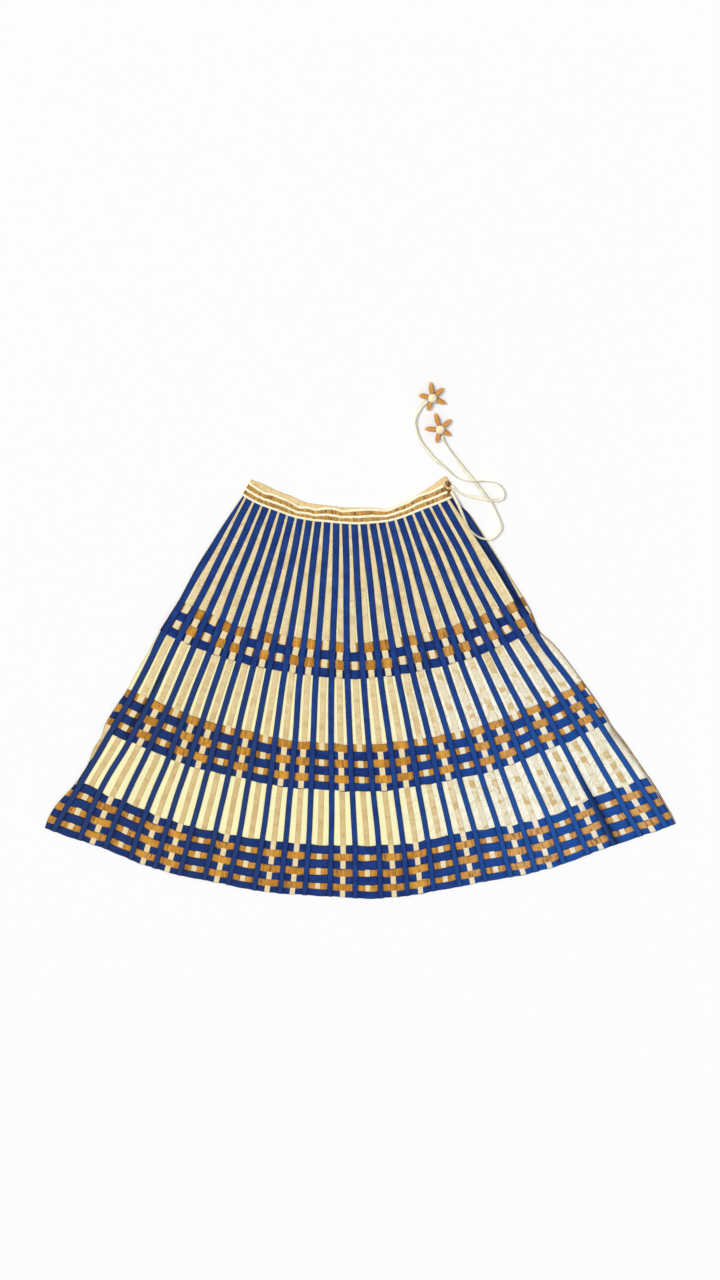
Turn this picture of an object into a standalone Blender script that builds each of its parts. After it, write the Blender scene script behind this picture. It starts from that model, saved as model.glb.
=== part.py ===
"""A long flared skirt laid flat on its back panel, with its drawstring ends beside the waist.

The skirt is cut as a sector of a circle. Places on it are given by an angle in degrees from the
middle line, positive to the right, and by a radius in millimetres from the sector's apex.
X runs to the right, Y towards the waist and Z up from the surface that the skirt lies on.
"""

import math

import bmesh
import bpy
import numpy as np
from mathutils import Vector

MM = 0.001
APEX = Vector((-0.0086, 0.8254, 0.0))

CLOTH = 1.0
RIBBON = 1.0
GAP = 0.3
LIFT = 0.6
BAND_CLOTH = 2.0
PIPING = 0.6

SEAM = 376.0
HEM = 1359.0
SEAM_ALLOWANCE_GAP = 0.3

RIBBON_PITCH = 2.70
RIBBON_WIDTH = 12.7
RIBBONS_EACH_SIDE = 12
BAND_STEP = 4.0
STEP_CLEARANCE = 1.0
ROW_GAP = 0.4

# The side fold on the right has a crest and, just outside it, a valley that the last ribbon lies in.
CREST = {
    "reach": 5.5, "drop": 0.35, "height": 3.0,
    "start": 380.0, "full": 560.0, "hold": 570.0, "end": 1000.0,
}
RIBBON_INSET = 0.08

# The woven bands: the radius where each starts, and the depths of its rows from there.
BANDS = {
    "upper": {"start": 638.0, "rows": (22.0, 22.0, 21.0, 22.0), "first": "bronze"},
    "middle": {"start": 893.0, "rows": (20.0, 24.0, 20.0, 24.0, 20.0, 23.0), "first": "bronze"},
    "lower": {
        "start": 1192.0, "rows": (26.0, 21.0, 27.0, 22.0, 26.0, 21.0, 24.0), "first": "blue",
    },
}

# Sections of the laid skirt: the radius of each, the angles of its left and right side folds, and
# the angle of the crest beside the right one.
SECTION_COLUMNS = ("radius", "left", "right", "crest")
SECTIONS = (
    (376.0, -31.9, 32.4, 31.6),
    (425.0, -32.5, 33.75, 31.75),
    (460.0, -32.8, 33.75, 31.8),
    (500.0, -32.95, 33.6, 31.85),
    (550.0, -33.15, 33.45, 31.8),
    (600.0, -33.0, 33.3, 31.6),
    (638.0, -32.9, 33.2, 31.35),
    (681.0, -33.0, 32.9, 31.15),
    (725.0, -33.1, 32.3, 31.1),
    (775.0, -33.0, 33.0, 31.3),
    (850.0, -33.0, 33.4, 31.6),
    (893.0, -32.9, 33.45, 31.75),
    (958.0, -33.1, 33.5, 31.6),
    (1024.0, -32.8, 33.35, 31.5),
    (1111.0, -32.5, 33.5, 31.5),
    (1192.0, -32.75, 33.5, 31.5),
    (1265.0, -33.3, 33.4, 31.5),
    (1359.0, -33.1, 33.1, 31.5),
)

# How far each line of the cut lies further out than its nominal radius, by angle.
LAY_COLUMNS = (
    "angle", "upper_start", "upper_end", "middle_start", "middle_end", "lower_start", "hem",
)
LAY = (
    (-33.5, -6.0, -9.0, -9.0, -14.0, -20.0, -16.0),
    (-28.0, -8.0, -10.0, -15.0, -18.0, -21.0, -26.0),
    (-22.0, -4.0, -7.0, -6.0, -5.0, -4.0, -9.0),
    (-16.0, -5.0, -7.0, -6.0, -6.0, -1.0, -7.0),
    (-10.0, -6.0, -6.0, 1.0, 1.0, 0.0, 1.0),
    (-4.0, -3.0, -2.0, 3.0, 3.0, 3.0, 4.0),
    (2.0, 2.0, 2.0, 8.0, 8.0, 3.0, 11.0),
    (5.0, 1.0, 2.0, 8.0, 9.0, 7.0, 11.0),
    (8.0, 0.0, 1.0, 6.0, 5.0, 2.0, 4.0),
    (11.0, -1.0, 0.0, 7.0, 3.0, -4.0, -1.0),
    (14.0, 0.0, 0.0, 8.0, 3.0, -4.0, -3.0),
    (17.0, 1.0, 1.0, 9.0, 6.0, 5.0, 4.0),
    (20.0, 3.0, 3.0, 6.0, 2.0, 9.0, 3.0),
    (23.0, 3.0, 1.0, 3.0, -4.0, 8.0, -3.0),
    (28.0, 4.0, 1.0, 3.0, -3.0, 5.0, 1.0),
    (33.5, 8.0, 6.0, 0.0, -7.0, 14.0, 14.0),
)

# How many millimetres to the right each radial ribbon lies of its own straight line, at each
# radius. The ribbons are counted from the middle one, and those left out lie between.
SWAY_RADII = (376.0, 460.0, 600.0, 740.0, 880.0, 1045.0, 1190.0, 1359.0)
SWAY = (
    (-12, (0.0, 2.0, 1.0, 1.0, 8.0, 6.0, 5.0, 4.0)),
    (-11, (0.0, 0.0, 1.0, 0.0, 4.0, 3.0, -4.0, 3.0)),
    (-9, (0.0, 0.0, 0.0, 1.0, 2.0, 2.0, 1.0, 6.0)),
    (-7, (0.0, 0.0, -2.0, -3.0, -4.0, -1.0, 1.0, 4.0)),
    (-5, (0.0, 0.0, -3.0, -5.0, -5.0, -2.0, 0.0, -3.0)),
    (-3, (0.0, -2.0, -3.0, -6.0, -3.0, -2.0, -1.0, -3.0)),
    (-1, (0.0, 0.0, -4.0, -7.0, -7.0, -5.0, -5.0, -8.0)),
    (1, (0.0, -2.0, -6.0, -8.0, -8.0, -7.0, -5.0, -10.0)),
    (3, (0.0, 0.0, -3.0, -3.0, 0.0, -1.0, -1.0, -7.0)),
    (5, (0.0, 0.0, -5.0, -6.0, -2.0, -2.0, 0.0, -6.0)),
    (7, (0.0, 0.0, -2.0, -3.0, -1.0, -3.0, -3.0, -10.0)),
    (8, (0.0, 1.0, 0.0, 0.0, 3.0, 2.0, 3.0, -4.0)),
    (9, (0.0, 2.0, -2.0, -4.0, 1.0, -1.0, 0.0, -5.0)),
    (11, (0.0, -2.0, -6.0, -5.0, 0.0, 1.0, -2.0, -4.0)),
    (12, (0.0, 2.0, -2.0, -11.0, -5.0, -4.0, -3.0, -6.0)),
)

# The waistband's lines by angle: the back's top, the front's top and the seam below both.
WAIST_COLUMNS = ("angle", "back_top", "front_top", "seam")
WAIST = (
    (-32.5, 330.0, 332.5, 365.0),
    (-30.0, 325.5, 333.5, 366.5),
    (-26.0, 325.0, 335.0, 366.5),
    (-21.0, 328.0, 335.0, 367.0),
    (-15.0, 334.0, 344.0, 368.5),
    (-9.0, 335.0, 342.0, 370.0),
    (-4.0, 335.5, 340.5, 372.0),
    (0.0, 339.0, 345.0, 374.0),
    (4.0, 341.0, 343.5, 376.0),
    (9.0, 345.5, 346.5, 378.0),
    (14.0, 352.5, 354.5, 380.0),
    (20.0, 350.0, 351.0, 381.5),
    (26.0, 346.0, 348.0, 382.5),
    (32.5, 342.5, 352.5, 385.0),
)
BAND_LEFT = -32.2
BAND_RIGHT = 32.5
BACK_BAND_RIGHT_TOP = 34.3

# The waistband's stripes from the seam up, as widths; the cream ones are raised piping.
STRIPES = (
    ("cream", 6.6),
    ("bronze", 8.1),
    ("cream", 5.8),
    ("bronze", 8.1),
    ("cream", 7.2),
)
STRIPE_SLOPE = 0.015

# Folds raised in the front: the crest's angle, the reach on each side, the height, and the radii
# where the fold starts, is full, begins to fall and ends.
FOLD_COLUMNS = ("angle", "left", "right", "height", "start", "full", "hold", "end")
FOLDS = (
    (-28.4, 4.0, 4.5, 3.5, 660.0, 860.0, 1190.0, 1500.0),
    (-18.9, 2.8, 4.0, 2.5, 1111.0, 1340.0, 1500.0, 1600.0),
    (-9.5, 5.5, 5.5, 2.5, 889.0, 1266.0, 1500.0, 1600.0),
    (1.4, 5.5, 5.5, 3.0, 889.0, 1194.0, 1500.0, 1600.0),
    (12.2, 5.5, 5.5, 2.5, 958.0, 1266.0, 1500.0, 1600.0),
    (23.0, 5.5, 3.6, 4.0, 889.0, 1194.0, 1500.0, 1600.0),
)

# The waistband's end at the side opening, where the cords come out.
END_TAB = {"inner": 353.0, "outer": 371.0, "left": 32.75, "right": 33.6}

CORD_DIAMETER = 4.5
CORD_POINT_SPACING = 10.0

# Routes of the two drawstring ends from the side opening, in millimetres from the apex.
LOWER_CORD_ROUTE = (
    (203.4, -310.8, 3.7),
    (206.6, -316.6, 3.7),
    (210.4, -323.6, 4.6),
    (213.8, -330.2, 5.8),
    (217.8, -338.2, 6.9),
    (224.2, -353.1, 7.2),
    (231.3, -369.8, 7.2),
    (239.7, -386.9, 7.2),
    (251.3, -399.2, 7.1),
    (262.7, -406.8, 7.0),
    (278.6, -410.9, 6.0),
    (289.6, -407.5, 3.0),
    (298.1, -398.0, 2.4),
    (302.0, -386.1, 2.4),
    (297.9, -371.6, 2.4),
    (289.3, -352.4, 2.4),
    (279.7, -334.6, 2.4),
    (270.4, -323.9, 2.4),
    (247.5, -293.4, 2.4),
    (222.8, -263.3, 2.4),
    (198.4, -229.3, 2.4),
    (187.4, -212.6, 3.0),
    (183.2, -203.4, 3.6),
)
UPPER_CORD_ROUTE = (
    (202.2, -300.3, 2.7),
    (206.0, -301.4, 2.7),
    (210.0, -305.4, 2.6),
    (215.6, -310.6, 2.5),
    (223.6, -316.4, 2.4),
    (237.6, -322.0, 2.4),
    (253.0, -325.0, 3.2),
    (264.5, -326.8, 6.2),
    (274.0, -328.6, 7.5),
    (283.5, -330.4, 5.8),
    (294.5, -331.0, 2.8),
    (302.0, -327.0, 2.4),
    (304.0, -317.8, 2.4),
    (300.3, -308.5, 2.4),
    (293.3, -300.3, 2.4),
    (284.4, -295.5, 2.4),
    (273.5, -293.4, 2.5),
    (258.3, -291.2, 4.6),
    (246.5, -290.8, 7.5),
    (234.5, -290.6, 5.4),
    (225.7, -289.4, 2.8),
    (214.7, -284.5, 2.4),
    (203.7, -276.4, 2.4),
    (192.7, -266.0, 2.4),
    (170.9, -246.3, 2.4),
    (149.3, -219.3, 2.4),
    (140.7, -203.8, 2.4),
    (135.3, -186.4, 2.4),
    (134.2, -171.4, 2.4),
    (138.4, -158.8, 2.4),
    (146.6, -146.4, 2.8),
    (156.2, -138.4, 3.6),
)

# The flowers: the centre, and the direction in degrees and length of each stuffed petal.
FLOWERS = {
    "upper": {
        "centre": (165.4, -131.8),
        "petals": ((41.1, 26.1), (97.4, 28.7), (167.9, 25.7), (250.3, 24.6), (335.5, 26.8)),
    },
    "lower": {
        "centre": (180.2, -190.1),
        "petals": ((42.0, 26.9), (108.0, 32.1), (176.8, 28.4), (256.5, 26.2), (329.2, 23.4)),
    },
}
HUB_RADIUS = 5.6
HUB_HEIGHT = 5.5
PETAL_WIDTH = 9.5
PETAL_HEIGHT = 9.0
# Along a petal: how far out each ring of its cage lies, and its share of the full width.
PETAL_RINGS = ((0.45, 1.0), (0.72, 0.85), (1.02, 0.25))
BUTTON_RADIUS = 7.7
BUTTON_HEIGHT = 5.0
BUTTON_BASE = 7.45
BUTTON_SEGMENTS = 14
BUTTON_RINGS = 8
PETAL_SINK = 0.7

COLOURS = {
    "cream_cloth": (1.0, 0.94, 0.66),
    "bronze_ribbon": (0.61, 0.27, 0.035),
    "blue_ribbon": (0.015, 0.05, 0.27),
    "facing_cloth": (0.86, 0.66, 0.33),
    "cord_satin": (1.0, 0.92, 0.62),
    "petal_silk": (0.69, 0.28, 0.06),
    "button_cloth": (0.92, 0.78, 0.49),
}
CLOTH_ROUGHNESS = 0.75


def column(names, rows, name):
    """One named column of a table."""
    index = names.index(name)
    return [row[index] for row in rows]


def read(names, rows, name, key, at):
    """A table's value, between its rows, at a value of its key column."""
    return float(np.interp(at, column(names, rows, key), column(names, rows, name)))


def waist(name, angle):
    return read(WAIST_COLUMNS, WAIST, name, "angle", angle)


def band_end(band):
    return band["start"] + sum(band["rows"])


def radius(angle, nominal):
    """The radius where a line of the cut really lies at this angle."""
    stations = [SEAM]
    for band in BANDS.values():
        stations += [band["start"], band_end(band)]
    shifts = [waist("seam", angle) - SEAM]
    shifts += [read(LAY_COLUMNS, LAY, name, "angle", angle) for name in LAY_COLUMNS[1:]]
    return nominal + float(np.interp(nominal, stations, shifts))


def place(angle, distance, height):
    """A point of the skirt, in metres, from its angle, its true radius and its height."""
    turn = math.radians(angle)
    offset = Vector((distance * math.sin(turn), -distance * math.cos(turn), height))
    return APEX + offset * MM


def side(name, nominal):
    return read(SECTION_COLUMNS, SECTIONS, name, "radius", nominal)


def ribbon_angle(number, nominal):
    """The angle of a radial ribbon's middle, after its sway."""
    numbers = [row[0] for row in SWAY]
    moved = np.interp(number, numbers, [np.interp(nominal, SWAY_RADII, row[1]) for row in SWAY])
    return number * RIBBON_PITCH + math.degrees(float(moved) / nominal)


def columns_at(nominal):
    """The angles of the cloth's columns: side folds, gaps' middles, and the crest and its valley."""
    gaps = [(k + 0.5) * RIBBON_PITCH for k in range(-RIBBONS_EACH_SIDE, RIBBONS_EACH_SIDE - 1)]
    crest = side("crest", nominal)
    return [side("left", nominal), *gaps, crest, crest + CREST["drop"], side("right", nominal)]


def ramp(low, high, at):
    """A soft step from 0 at low to 1 at high."""
    t = min(max((at - low) / (high - low), 0.0), 1.0)
    return t * t * (3.0 - 2.0 * t)


def along_fold(fold, nominal):
    """A fold's share of its full height, by radius."""
    share = ramp(fold["start"], fold["full"], nominal)
    return share * (1.0 - ramp(fold["hold"], fold["end"], nominal))


def fold_height(angle, nominal):
    """The front's rise above the back at one of its own points."""
    total = 0.0
    for row in FOLDS:
        fold = dict(zip(FOLD_COLUMNS, row))
        offset = angle - fold["angle"]
        reach = fold["right"] if offset > 0 else fold["left"]
        across = math.cos(min(abs(offset) / reach, 1.0) * math.pi / 2) ** 2
        total += fold["height"] * across * along_fold(fold, nominal)
    offset = angle - side("crest", nominal)
    reach = CREST["drop"] if offset > 0 else CREST["reach"]
    across = math.cos(min(abs(offset) / reach, 1.0) * math.pi / 2) ** 2
    return total + CREST["height"] * across * along_fold(CREST, nominal)


def lay_height(angle, nominal):
    """The front's rise anywhere on it, straight between its sections and its columns."""
    sections = column(SECTION_COLUMNS, SECTIONS, "radius")
    inner = max(r for r in sections[:-1] if r <= max(nominal, sections[0]))
    outer = sections[sections.index(inner) + 1]
    here = columns_at(nominal)
    across = float(np.interp(angle, here, range(len(here))))
    heights = []
    for section in (inner, outer):
        rises = [fold_height(a, section) for a in columns_at(section)]
        rises[0] = rises[-1] = 0.0
        heights.append(float(np.interp(across, range(len(rises)), rises)))
    return float(np.interp(nominal, (inner, outer), heights))


def front_top(angle, nominal):
    return CLOTH + GAP + CLOTH + lay_height(angle, nominal)


def material(name):
    made = bpy.data.materials.get(name)
    if made:
        return made
    made = bpy.data.materials.new(name)
    made.use_nodes = True
    shader = made.node_tree.nodes["Principled BSDF"]
    shader.inputs["Base Color"].default_value = (*COLOURS[name], 1.0)
    shader.inputs["Roughness"].default_value = CLOTH_ROUGHNESS
    shader.inputs["Metallic"].default_value = 0.0
    made.diffuse_color = (*COLOURS[name], 1.0)
    return made


def add_object(name, data, material_name, group):
    made = bpy.data.objects.new(name, data)
    data.materials.append(material(material_name))
    group.objects.link(made)
    return made


def cloth_wall(name, across, along, bottom, thickness, material_name, group):
    """A wall of cloth from a grid of `across` by `along` cells.

    bottom(i, j) gives the lower face's point, and thickness(i, j) the wall there in millimetres.
    """
    cloth = bmesh.new()
    wall = cloth.verts.layers.float.new("wall")
    bmesh.ops.create_grid(cloth, x_segments=across, y_segments=along, size=0.5)
    for vert in cloth.verts:
        i = round((vert.co.x + 0.5) * across)
        j = round((vert.co.y + 0.5) * along)
        vert.co = bottom(i, j)
        vert[wall] = thickness(i, j) * MM
    bmesh.ops.triangulate(cloth, faces=cloth.faces[:], quad_method="FIXED")
    grown = bmesh.ops.extrude_face_region(cloth, geom=cloth.faces[:], use_keep_orig=True)
    for item in grown["geom"]:
        if isinstance(item, bmesh.types.BMVert):
            item.co.z += item[wall]
    bmesh.ops.recalc_face_normals(cloth, faces=cloth.faces[:])
    data = bpy.data.meshes.new(name)
    cloth.to_mesh(data)
    cloth.free()
    return add_object(name, data, material_name, group)


def panel(name, base, rises, material_name, group):
    """The front or the back, from seam to hem, through the skirt's sections."""
    sections = column(SECTION_COLUMNS, SECTIONS, "radius")

    def bottom(i, j):
        nominal = sections[j]
        angle = columns_at(nominal)[i]
        height = base + (lay_height(angle, nominal) if rises else 0.0)
        inset = SEAM_ALLOWANCE_GAP if j == 0 else 0.0
        return place(angle, radius(angle, nominal) + inset, height)

    across = len(columns_at(SEAM)) - 1
    along = len(sections) - 1
    return cloth_wall(name, across, along, bottom, lambda i, j: CLOTH, material_name, group)


def row_edges(band, row):
    """The inner and outer radius of one row of woven ribbon."""
    inner = band["start"] + sum(band["rows"][:row]) + ROW_GAP / 2
    outer = band["start"] + sum(band["rows"][: row + 1])
    if row < len(band["rows"]) - 1:
        outer -= ROW_GAP / 2
    return inner, outer


def woven_ribbon(name, band, row, group):
    """One row of a woven band, lying on the front from side to side."""
    edges = row_edges(band, row)
    starts_bronze = band["first"] == "bronze"
    colour = "bronze_ribbon" if (row % 2 == 0) == starts_bronze else "blue_ribbon"

    def bottom(i, j):
        angle = columns_at(edges[j])[i]
        return place(angle, radius(angle, edges[j]), front_top(angle, edges[j]) + LIFT)

    across = len(columns_at(edges[0])) - 1
    return cloth_wall(name, across, 1, bottom, lambda i, j: RIBBON, colour, group)


def radial_stations():
    """The radii where a radial ribbon bends: the skirt's sections, and its steps onto the bands."""
    edges = [band["start"] for band in BANDS.values()]
    edges += [band_end(band) for band in BANDS.values() if band_end(band) < HEM]
    plain = [r for r in column(SECTION_COLUMNS, SECTIONS, "radius") if r not in edges]
    steps = []
    for band in BANDS.values():
        low = band["start"] - STEP_CLEARANCE
        steps += [low - BAND_STEP, low]
        if band_end(band) < HEM:
            high = band_end(band) + STEP_CLEARANCE
            steps += [high, high + BAND_STEP]
    return sorted(plain + steps)


def over_band(nominal):
    reach = STEP_CLEARANCE + BAND_STEP / 2
    return any(b["start"] - reach < nominal < band_end(b) + reach for b in BANDS.values())


def radial_edges(number, nominal):
    """The angles of a radial ribbon's two edges, kept on the cloth at the side folds."""
    middle = ribbon_angle(number, nominal)
    half = math.degrees(RIBBON_WIDTH / 2 / radius(middle, nominal))
    left = max(middle - half, side("left", nominal) + RIBBON_INSET)
    right = min(middle + half, side("right", nominal) - RIBBON_INSET)
    if number == RIBBONS_EACH_SIDE:
        left = max(left, side("crest", nominal) + CREST["drop"] + RIBBON_INSET)
    return left, right


def radial_ribbon(name, number, group):
    """One ribbon from the seam to the hem, stepping up over each woven band."""
    stations = radial_stations()

    def bottom(i, j):
        nominal = stations[j]
        angle = radial_edges(number, nominal)[i]
        height = front_top(angle, nominal) + LIFT
        if over_band(nominal):
            height += RIBBON + LIFT
        inset = SEAM_ALLOWANCE_GAP if j == 0 else 0.0
        return place(angle, radius(angle, nominal) + inset, height)

    return cloth_wall(
        name, 1, len(stations) - 1, bottom, lambda i, j: RIBBON, "blue_ribbon", group
    )


def stripe_profile():
    """Rows across the waistband: how far up each lies, from 0 to 1, and the wall there."""
    total = sum(width for _, width in STRIPES)
    rows = []
    at = 0.0
    for number, (kind, width) in enumerate(STRIPES):
        wall = BAND_CLOTH + (PIPING if kind == "cream" else 0.0)
        start = at / total + (STRIPE_SLOPE if number else 0.0)
        at += width
        end = at / total - (STRIPE_SLOPE if number < len(STRIPES) - 1 else 0.0)
        rows += [(start, wall), (end, wall)]
    return rows


def band_angles(right):
    gaps = [(k + 0.5) * RIBBON_PITCH for k in range(-RIBBONS_EACH_SIDE, RIBBONS_EACH_SIDE)]
    return [BAND_LEFT, *gaps, right]


def waistband_front(group):
    profile = stripe_profile()
    angles = band_angles(BAND_RIGHT)

    def bottom(i, j):
        up = profile[j][0]
        distance = (1 - up) * waist("seam", angles[i]) + up * waist("front_top", angles[i])
        return place(angles[i], distance, CLOTH + GAP)

    return cloth_wall(
        "waistband_front", len(angles) - 1, len(profile) - 1, bottom,
        lambda i, j: profile[j][1], "cream_cloth", group,
    )


def waistband_back(group):
    """The waistband's back half, lying on the surface with its lighter inner face up."""
    ends = (band_angles(BAND_RIGHT), band_angles(BACK_BAND_RIGHT_TOP))

    def bottom(i, j):
        angle = ends[j][i]
        distance = waist("back_top", angle) if j else waist("seam", angle)
        return place(angle, distance, 0.0)

    return cloth_wall(
        "waistband_back", len(ends[0]) - 1, 1, bottom, lambda i, j: CLOTH, "facing_cloth", group
    )


def waistband_end(group):
    """The turned-in end of the waistband at the side opening."""

    def bottom(i, j):
        angle = END_TAB["right"] if i else END_TAB["left"]
        distance = END_TAB["outer"] if j else END_TAB["inner"]
        return place(angle, distance, CLOTH + GAP)

    return cloth_wall(
        "waistband_end", 1, 1, bottom, lambda i, j: BAND_CLOTH + PIPING, "bronze_ribbon", group
    )


def smooth_route(points, spacing):
    """Points about `spacing` apart on a smooth curve through a route's own points."""
    route = [Vector(p) for p in points]
    route = [2 * route[0] - route[1], *route, 2 * route[-1] - route[-2]]
    made = [route[1]]
    for a, b, c, d in zip(route, route[1:], route[2:], route[3:]):
        steps = max(1, round((c - b).length / spacing))
        for step in range(1, steps + 1):
            t = step / steps
            point = b * 2 + (c - a) * t + (a * 2 - b * 5 + c * 4 - d) * t**2
            point += (b * 3 - a - c * 3 + d) * t**3
            made.append(point / 2)
    return made


def drawstring(name, route, group):
    points = [APEX + p * MM for p in smooth_route(route, CORD_POINT_SPACING)]
    data = bpy.data.curves.new(name, "CURVE")
    data.dimensions = "3D"
    data.bevel_depth = CORD_DIAMETER / 2 * MM
    data.bevel_resolution = 2
    data.use_fill_caps = True
    spline = data.splines.new("POLY")
    spline.points.add(len(points) - 1)
    for target, point in zip(spline.points, points):
        target.co = (*point, 1.0)
    return add_object(name, data, "cord_satin", group)


def flower_petals(name, flower, group):
    """Stuffed petals drawn out of one hub, softened from a coarse cage."""
    cage = bmesh.new()
    petals = sorted(flower["petals"])
    bmesh.ops.create_cone(
        cage, cap_ends=True, segments=len(petals), radius1=HUB_RADIUS, radius2=HUB_RADIUS,
        depth=HUB_HEIGHT,
    )
    corners = []
    for number, (direction, _) in enumerate(petals):
        before = petals[number - 1][0] - (360.0 if number == 0 else 0.0)
        corners.append((before + direction) / 2)
    ordered = sorted(cage.verts, key=lambda v: (v.co.z > 0, math.atan2(v.co.y, v.co.x) % math.tau))
    for number, vert in enumerate(ordered):
        turn = math.radians(corners[number % len(petals)])
        vert.co.x = HUB_RADIUS * math.cos(turn)
        vert.co.y = HUB_RADIUS * math.sin(turn)
    sides = [f for f in cage.faces if abs(f.normal.z) < 0.5]
    for face in sides:
        middle = face.calc_center_median()
        turn = math.atan2(middle.y, middle.x)
        direction, length = min(
            petals, key=lambda p: abs(math.remainder(math.radians(p[0]) - turn, math.tau))
        )
        draw_petal(cage, face, math.radians(direction), length)
    bmesh.ops.recalc_face_normals(cage, faces=cage.faces[:])
    data = bpy.data.meshes.new(name)
    cage.to_mesh(data)
    cage.free()
    data.shade_smooth()
    made = add_object(name, data, "petal_silk", group)
    made.location = APEX + Vector((*flower["centre"], PETAL_HEIGHT / 2 - PETAL_SINK)) * MM
    made.scale = (MM, MM, MM)
    soft = made.modifiers.new("soft", "SUBSURF")
    soft.levels = soft.render_levels = 1
    return made


def draw_petal(cage, face, turn, length):
    """One petal: out to its full width, along, and in to its tip."""
    along = Vector((math.cos(turn), math.sin(turn), 0.0))
    across = Vector((-along.y, along.x, 0.0))
    for reach, share in PETAL_RINGS:
        grown = bmesh.ops.extrude_discrete_faces(cage, faces=[face])
        face = grown["faces"][0]
        for vert in face.verts:
            aside = math.copysign(PETAL_WIDTH / 2 * share, vert.co.dot(across))
            up = math.copysign(PETAL_HEIGHT / 2 * share, vert.co.z)
            vert.co = along * (length * reach) + across * aside + Vector((0.0, 0.0, up))


def flower_button(name, flower, group):
    """A cloth-covered button: a low dome over the petals' roots."""
    dome = bmesh.new()
    bmesh.ops.create_uvsphere(
        dome, u_segments=BUTTON_SEGMENTS, v_segments=BUTTON_RINGS, radius=1.0
    )
    half_ring = 0.5 / BUTTON_RINGS
    below = [v for v in dome.verts if v.co.z < -half_ring]
    bmesh.ops.delete(dome, geom=below, context="VERTS")
    rim = [e for e in dome.edges if e.is_boundary]
    bmesh.ops.contextual_create(dome, geom=rim)
    for vert in dome.verts:
        vert.co.x *= BUTTON_RADIUS * MM
        vert.co.y *= BUTTON_RADIUS * MM
        vert.co.z *= BUTTON_HEIGHT * MM
    bmesh.ops.recalc_face_normals(dome, faces=dome.faces[:])
    data = bpy.data.meshes.new(name)
    dome.to_mesh(data)
    dome.free()
    data.shade_smooth()
    made = add_object(name, data, "button_cloth", group)
    made.location = APEX + Vector((*flower["centre"], BUTTON_BASE)) * MM
    return made


def main():
    for old in list(bpy.data.objects):
        bpy.data.objects.remove(old)
    group = bpy.data.collections.new("ribbon_skirt")
    bpy.context.scene.collection.children.link(group)
    panel("skirt_back", 0.0, False, "cream_cloth", group)
    panel("skirt_front", CLOTH + GAP, True, "cream_cloth", group)
    waistband_back(group)
    waistband_front(group)
    waistband_end(group)
    for band_name, band in BANDS.items():
        for row in range(len(band["rows"])):
            woven_ribbon(f"woven_ribbon_{band_name}_{row + 1}", band, row, group)
    for number in range(-RIBBONS_EACH_SIDE, RIBBONS_EACH_SIDE + 1):
        radial_ribbon(f"radial_ribbon_{number + RIBBONS_EACH_SIDE + 1:02d}", number, group)
    drawstring("drawstring_lower", LOWER_CORD_ROUTE, group)
    drawstring("drawstring_upper", UPPER_CORD_ROUTE, group)
    for name, flower in FLOWERS.items():
        flower_petals(f"flower_petals_{name}", flower, group)
        flower_button(f"flower_button_{name}", flower, group)


main()
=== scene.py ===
"""The looks of a long flared skirt of woven ribbon, laid flat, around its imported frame.

The skirt is cut as a sector of a circle. Places on it are given by an angle in degrees from the
middle line, positive to the right, and by a radius in millimetres from the sector's apex.
X runs to the right, Y towards the waist and Z up from the surface that the skirt lies on.
"""

import math

import bmesh
import bpy
import numpy as np
from mathutils import Matrix, Vector


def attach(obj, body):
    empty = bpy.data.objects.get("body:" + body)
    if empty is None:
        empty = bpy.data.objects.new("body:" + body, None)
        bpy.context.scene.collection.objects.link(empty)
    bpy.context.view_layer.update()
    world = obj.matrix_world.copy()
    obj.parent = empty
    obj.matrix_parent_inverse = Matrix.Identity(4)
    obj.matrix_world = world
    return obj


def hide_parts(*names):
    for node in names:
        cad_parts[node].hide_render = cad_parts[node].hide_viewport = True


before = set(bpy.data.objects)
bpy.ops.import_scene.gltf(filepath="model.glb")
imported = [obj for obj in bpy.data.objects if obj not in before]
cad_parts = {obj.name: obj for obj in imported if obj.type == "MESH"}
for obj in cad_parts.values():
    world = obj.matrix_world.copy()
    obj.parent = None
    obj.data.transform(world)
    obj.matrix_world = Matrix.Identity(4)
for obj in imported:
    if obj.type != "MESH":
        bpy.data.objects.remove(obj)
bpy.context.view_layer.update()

MM = 0.001
APEX = np.array((-0.0086, 0.8254, 0.0))
SEAM = 376.0
HEM = 1359.0
RIBBON_PITCH = 2.70
RIBBON_WIDTH = 12.7
ROW_WIDTH = 25.5
RIBBONS_EACH_SIDE = 12
GAPS = 26
MIDDLE_GAP = (GAPS + 1) / 2

# Camera

CAMERA_FROM_APEX = np.array((46.9, 325.9, 1663.2))
CAMERA_ROLL = 1.5
CAMERA_DIP = 60.0
CAMERA_LENS = 25.99


def make_camera():
    """The photograph's view: from above the waist, looking down towards the hem."""
    data = bpy.data.cameras.new("camera")
    data.lens = CAMERA_LENS
    data.sensor_width = 36.0
    data.sensor_fit = "AUTO"
    data.clip_start = 0.05
    data.clip_end = 50.0
    camera = bpy.data.objects.new("camera", data)
    bpy.context.scene.collection.objects.link(camera)
    roll = math.radians(CAMERA_ROLL)
    dip = math.radians(CAMERA_DIP)
    right = Vector((math.cos(roll), -math.sin(roll), 0.0))
    up = Vector((math.sin(roll) * math.sin(dip), math.cos(roll) * math.sin(dip), -math.cos(dip)))
    back = right.cross(up)
    turn = Matrix((right, up, back)).transposed()
    camera.matrix_world = Matrix.Translation(APEX + CAMERA_FROM_APEX * MM) @ turn.to_4x4()
    bpy.context.scene.camera = camera


make_camera()

# Tables of the laid skirt, in the frame's own measures

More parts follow.
